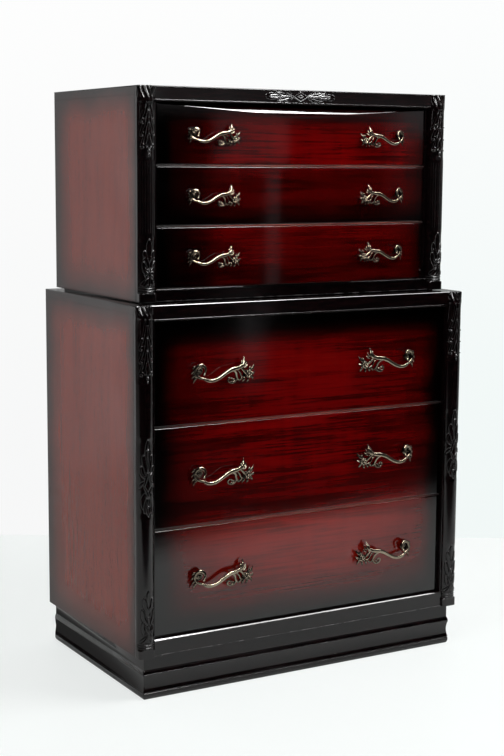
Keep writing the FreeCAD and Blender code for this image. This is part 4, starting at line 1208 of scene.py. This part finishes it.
# each stroke of the casting: rows of (along, up, out of the face, half width, half height), and its groove
pullSet = {
    "bar": ([(-56, -12, 19, 3.0, 3.4), (-50, -16, 20.4, 3.8, 4.0), (-40, -18.6, 20.7, 4.2, 4.2),
        (-29, -17.8, 20.7, 4.3, 4.3), (-17, -13.6, 20.7, 4.3, 4.3), (-5, -7, 20.7, 4.5, 4.3),
        (6, -0.3, 20.7, 4.9, 4.3), (18, 4.4, 20.4, 5.2, 4.3), (30, 6.2, 19.3, 4.9, 4.2),
        (40, 8, 17, 4.2, 3.8), (47, 13, 15, 3.0, 3.0)], 0.3),
    "volute": ([(-54, -13, 18, 2.6, 2.6), (-63, -11, 15, 3.2, 3.2), (-72, -5, 12.5, 3.4, 3.4),
        (-75.5, 5, 12, 3.6, 3.4), (-71, 14.5, 13, 4.0, 3.4), (-62, 18.3, 15, 4.4, 3.6),
        (-53.5, 15, 17, 3.8, 3.4), (-50.8, 7, 18.5, 2.8, 2.8), (-54, 0.5, 19.5, 2.0, 2.2)], 0.25),
    "rim": ([(-68, 8, 10, 1.2, 1.2), (-64, 11.5, 12, 1.8, 1.8), (-58, 10.5, 13.5, 1.8, 1.8),
        (-56, 5, 14, 0.8, 0.8)], 0.0),
    "fringeA": ([(-70, 13, 10, 2.6, 2.2), (-77, 14, 10.5, 3.2, 2.6), (-82, 9, 9, 0.8, 0.8)], 0.2),
    "fringeB": ([(-71, 5, 10, 2.8, 2.2), (-78, 5, 10.5, 3.4, 2.8), (-83.5, -2, 9, 0.8, 0.8)], 0.2),
    "fringeC": ([(-70, -3, 10, 2.8, 2.2), (-77, -5, 10.5, 3.4, 2.8), (-82.5, -13, 9, 0.8, 0.8)], 0.2),
    "fringeD": ([(-67, -8, 10, 2.8, 2.2), (-74, -13, 10, 3.6, 2.8), (-79, -25, 8, 0.7, 0.8)], 0.2),
    "branch": ([(12, 1, 19, 2.6, 2.6), (23, 1.5, 18.4, 3.2, 3.0), (30.5, -4, 16, 3.2, 3.0),
        (33.5, -12, 13.5, 2.9, 2.8), (38, -20, 11.5, 2.8, 2.6), (45, -24, 10, 1.0, 1.0)], 0.2),
    "curl": ([(36, -15, 12.5, 2.2, 2.2), (33, -22, 11.5, 2.8, 2.8), (26, -27, 11, 3.0, 3.0),
        (17, -26.5, 11, 2.8, 2.8), (12.5, -20.5, 11.5, 2.6, 2.6), (15.5, -15.5, 12.5, 2.4, 2.4),
        (20.5, -16.8, 13, 2.0, 2.0)], 0.2),
    "curlLeaf": ([(31, -19, 12, 0.8, 0.8), (26, -20, 13, 2.0, 1.8), (21, -24, 12.6, 0.8, 0.8)], 0.0),
    "flame": ([(42, 7, 15.5, 3.0, 3.0), (48.5, 11, 16, 4.8, 3.8), (53, 18, 15.5, 4.0, 3.4),
        (53.5, 25, 13.5, 2.8, 2.6), (55, 33, 10, 0.6, 0.7)], 0.25),
    "flameLeft": ([(50, 12, 14, 1.6, 1.6), (47.5, 18, 14, 2.6, 2.4), (48.5, 24.5, 12, 0.8, 0.8)], 0.0),
    "flameRight": ([(52, 11, 14, 1.6, 1.6), (58.5, 14, 14, 2.6, 2.4), (62, 21.5, 12, 0.8, 0.8)], 0.0),
    "flameLow": ([(53, 6, 13, 1.6, 1.6), (59.5, 7.5, 13, 2.5, 2.2), (64.5, 12.5, 11, 0.8, 0.8)], 0.0),
    "link": ([(44, 8, 15, 3.0, 2.8), (50, 2, 14.5, 3.2, 3.0), (56, -4, 13.5, 3.4, 3.0),
        (63, -9, 13, 2.4, 2.4)], 0.25),
    "linkLow": ([(36, 2, 14, 1.6, 1.8), (43, -4, 13, 2.2, 2.2), (47, -12, 12, 2.4, 2.2),
        (56, -17, 11, 1.8, 1.8)], 0.0),
    "leafUp": ([(70, -4, 10.5, 2.4, 2.2), (76, 1.5, 11, 3.6, 2.6), (80, 5, 10, 3.0, 2.2),
        (85, 12, 7.5, 0.6, 0.7)], 0.25),
    "leafUpSmall": ([(68, -1, 10.5, 1.8, 1.6), (71, 4, 10.5, 2.4, 2.2), (73, 9, 8.5, 0.7, 0.7)], 0.0),
    "lowA": ([(52, -14, 11, 2.0, 2.0), (47, -19.5, 11, 3.2, 2.6), (42, -26, 9, 0.9, 0.8)], 0.2),
    "lowB": ([(58, -16, 11, 2.0, 2.0), (55, -22, 11, 3.2, 2.6), (52, -28, 9, 0.9, 0.8)], 0.2),
    "lowC": ([(66, -18, 11, 2.0, 2.0), (66, -24, 10.6, 3.0, 2.6), (64, -29, 9, 0.9, 0.8)], 0.2),
    "lowD": ([(74, -15, 11, 2.2, 2.0), (78, -19, 10.5, 3.2, 2.6), (81, -25.5, 8.5, 0.8, 0.8)], 0.2),
    "lowE": ([(76, -9, 11, 2.2, 2.0), (81, -9, 10.5, 2.8, 2.4), (85, -5, 8.5, 0.8, 0.8)], 0.2),
}
# petals by (away from the middle, lift, half width, half height)
rosetteSet = {"at": (67.5, -10.0, 8.5), "petals": 7, "turn": 0.35, "groove": 0.3, "steps": (20, 12),
              "petal": ((2.5, 3.5, 1.4, 1.4), (7.5, 5.2, 3.2, 2.4), (9.8, 2.0, 1.0, 0.9))}
# round bosses as (centre, radii, rings and points round); the two large flat ones tie the strokes together
bossSet = (((67.5, -10.0, 13.5), (3.4, 3.4, 3.2), (10, 16)), ((-55, -2.5, 19.3), (3.5, 3.5, 3.5), (10, 16)),
           ((21.3, -17.2, 13.2), (2.9, 2.9, 2.9), (10, 16)), ((-63, 5, 7.5), (11.0, 11.0, 3.4), (12, 24)),
           ((66, -10, 7.0), (11.0, 9.0, 3.0), (12, 24)))
# necks turned to (radius, out of the face)
neckSet = {"at": ((-63.0, 6.0), (64.0, -13.0)), "sides": 20,
           "turned": ((5.6, -0.6), (5.6, 0.2), (4.4, 1.4), (4.2, 6.0), (5.4, 9.5), (5.4, 11.5))}
pullPlaces = {"lower": {"x": 233.0, "z": (271.75, 518.0, 759.75), "size": 1.0},
              "upper": {"x": 236.0, "z": (1022.25, 1162.5, 1302.5), "size": 0.8}}
castTop = 22.0  # how far the casting's highest places stand out of the face


def castPull():
    # one casting in its own frame: along it, up, and out of the drawer's face
    parts = []
    for rows, groove in pullSet.values():
        x, y, out, width, height = np.array(rows, float).T
        parts.append(sweep(np.stack([x, y, out], 1), width, height, groove=groove))
    centre = np.array(rosetteSet["at"])
    away, lift, *size = np.array(rosetteSet["petal"]).T
    for index in range(rosetteSet["petals"]):
        angle = index * 2 * math.pi / rosetteSet["petals"] + rosetteSet["turn"]
        line = centre + np.stack([math.cos(angle) * away, math.sin(angle) * away, lift], 1)
        parts.append(sweep(line, *size, *rosetteSet["steps"], rosetteSet["groove"]))
    for middle, radii, steps in bossSet:
        parts.append(ball(middle, radii, *steps))
    angle = np.linspace(0, 2 * math.pi, neckSet["sides"], endpoint=False)
    radius, out = np.array(neckSet["turned"]).T[:, :, None]
    for u, v in neckSet["at"]:
        ring = [u + radius * np.cos(angle), v + radius * np.sin(angle), np.repeat(out, len(angle), 1)]
        parts.append(outward(capped(np.stack(ring, -1))))
    return gathered(parts)


def pulls():
    # the casting at both ends of each drawer, mirrored, square to the bowed face where it stands
    points, quads = castPull()
    proud = np.clip(points[:, 2] / castTop, 0, 1)
    for case, level in drawers:
        place, drawer, bow = pullPlaces[case], f"{case}_{level}_drawer", bowOf(case)
        low = sidesOf(drawer + "_front")[0]
        here, inner, outer = (float(bowCurve(place["x"] + step)) if bow else 0.0 for step in (0.0, -1.0, 1.0))
        face, slope = low[1] + bow - here, math.atan2(inner - outer, 2.0)
        sized = points * place["size"]
        x, y = sized[:, 0], -sized[:, 2]
        turned = np.stack([x * math.cos(slope) + y * math.sin(slope), y * math.cos(slope) - x * math.sin(slope),
                           sized[:, 1]], 1)
        left = outward((turned + np.array([-place["x"], face, place["z"][levels.index(level)]]), quads))
        putPiece(case + level.capitalize() + "Pulls", [left, mirroredPart(left)], [brass],
                 (drawer + "_pulls",), drawer, values={"proud": np.concatenate([proud, proud])})


pulls()
print("pulls cast")
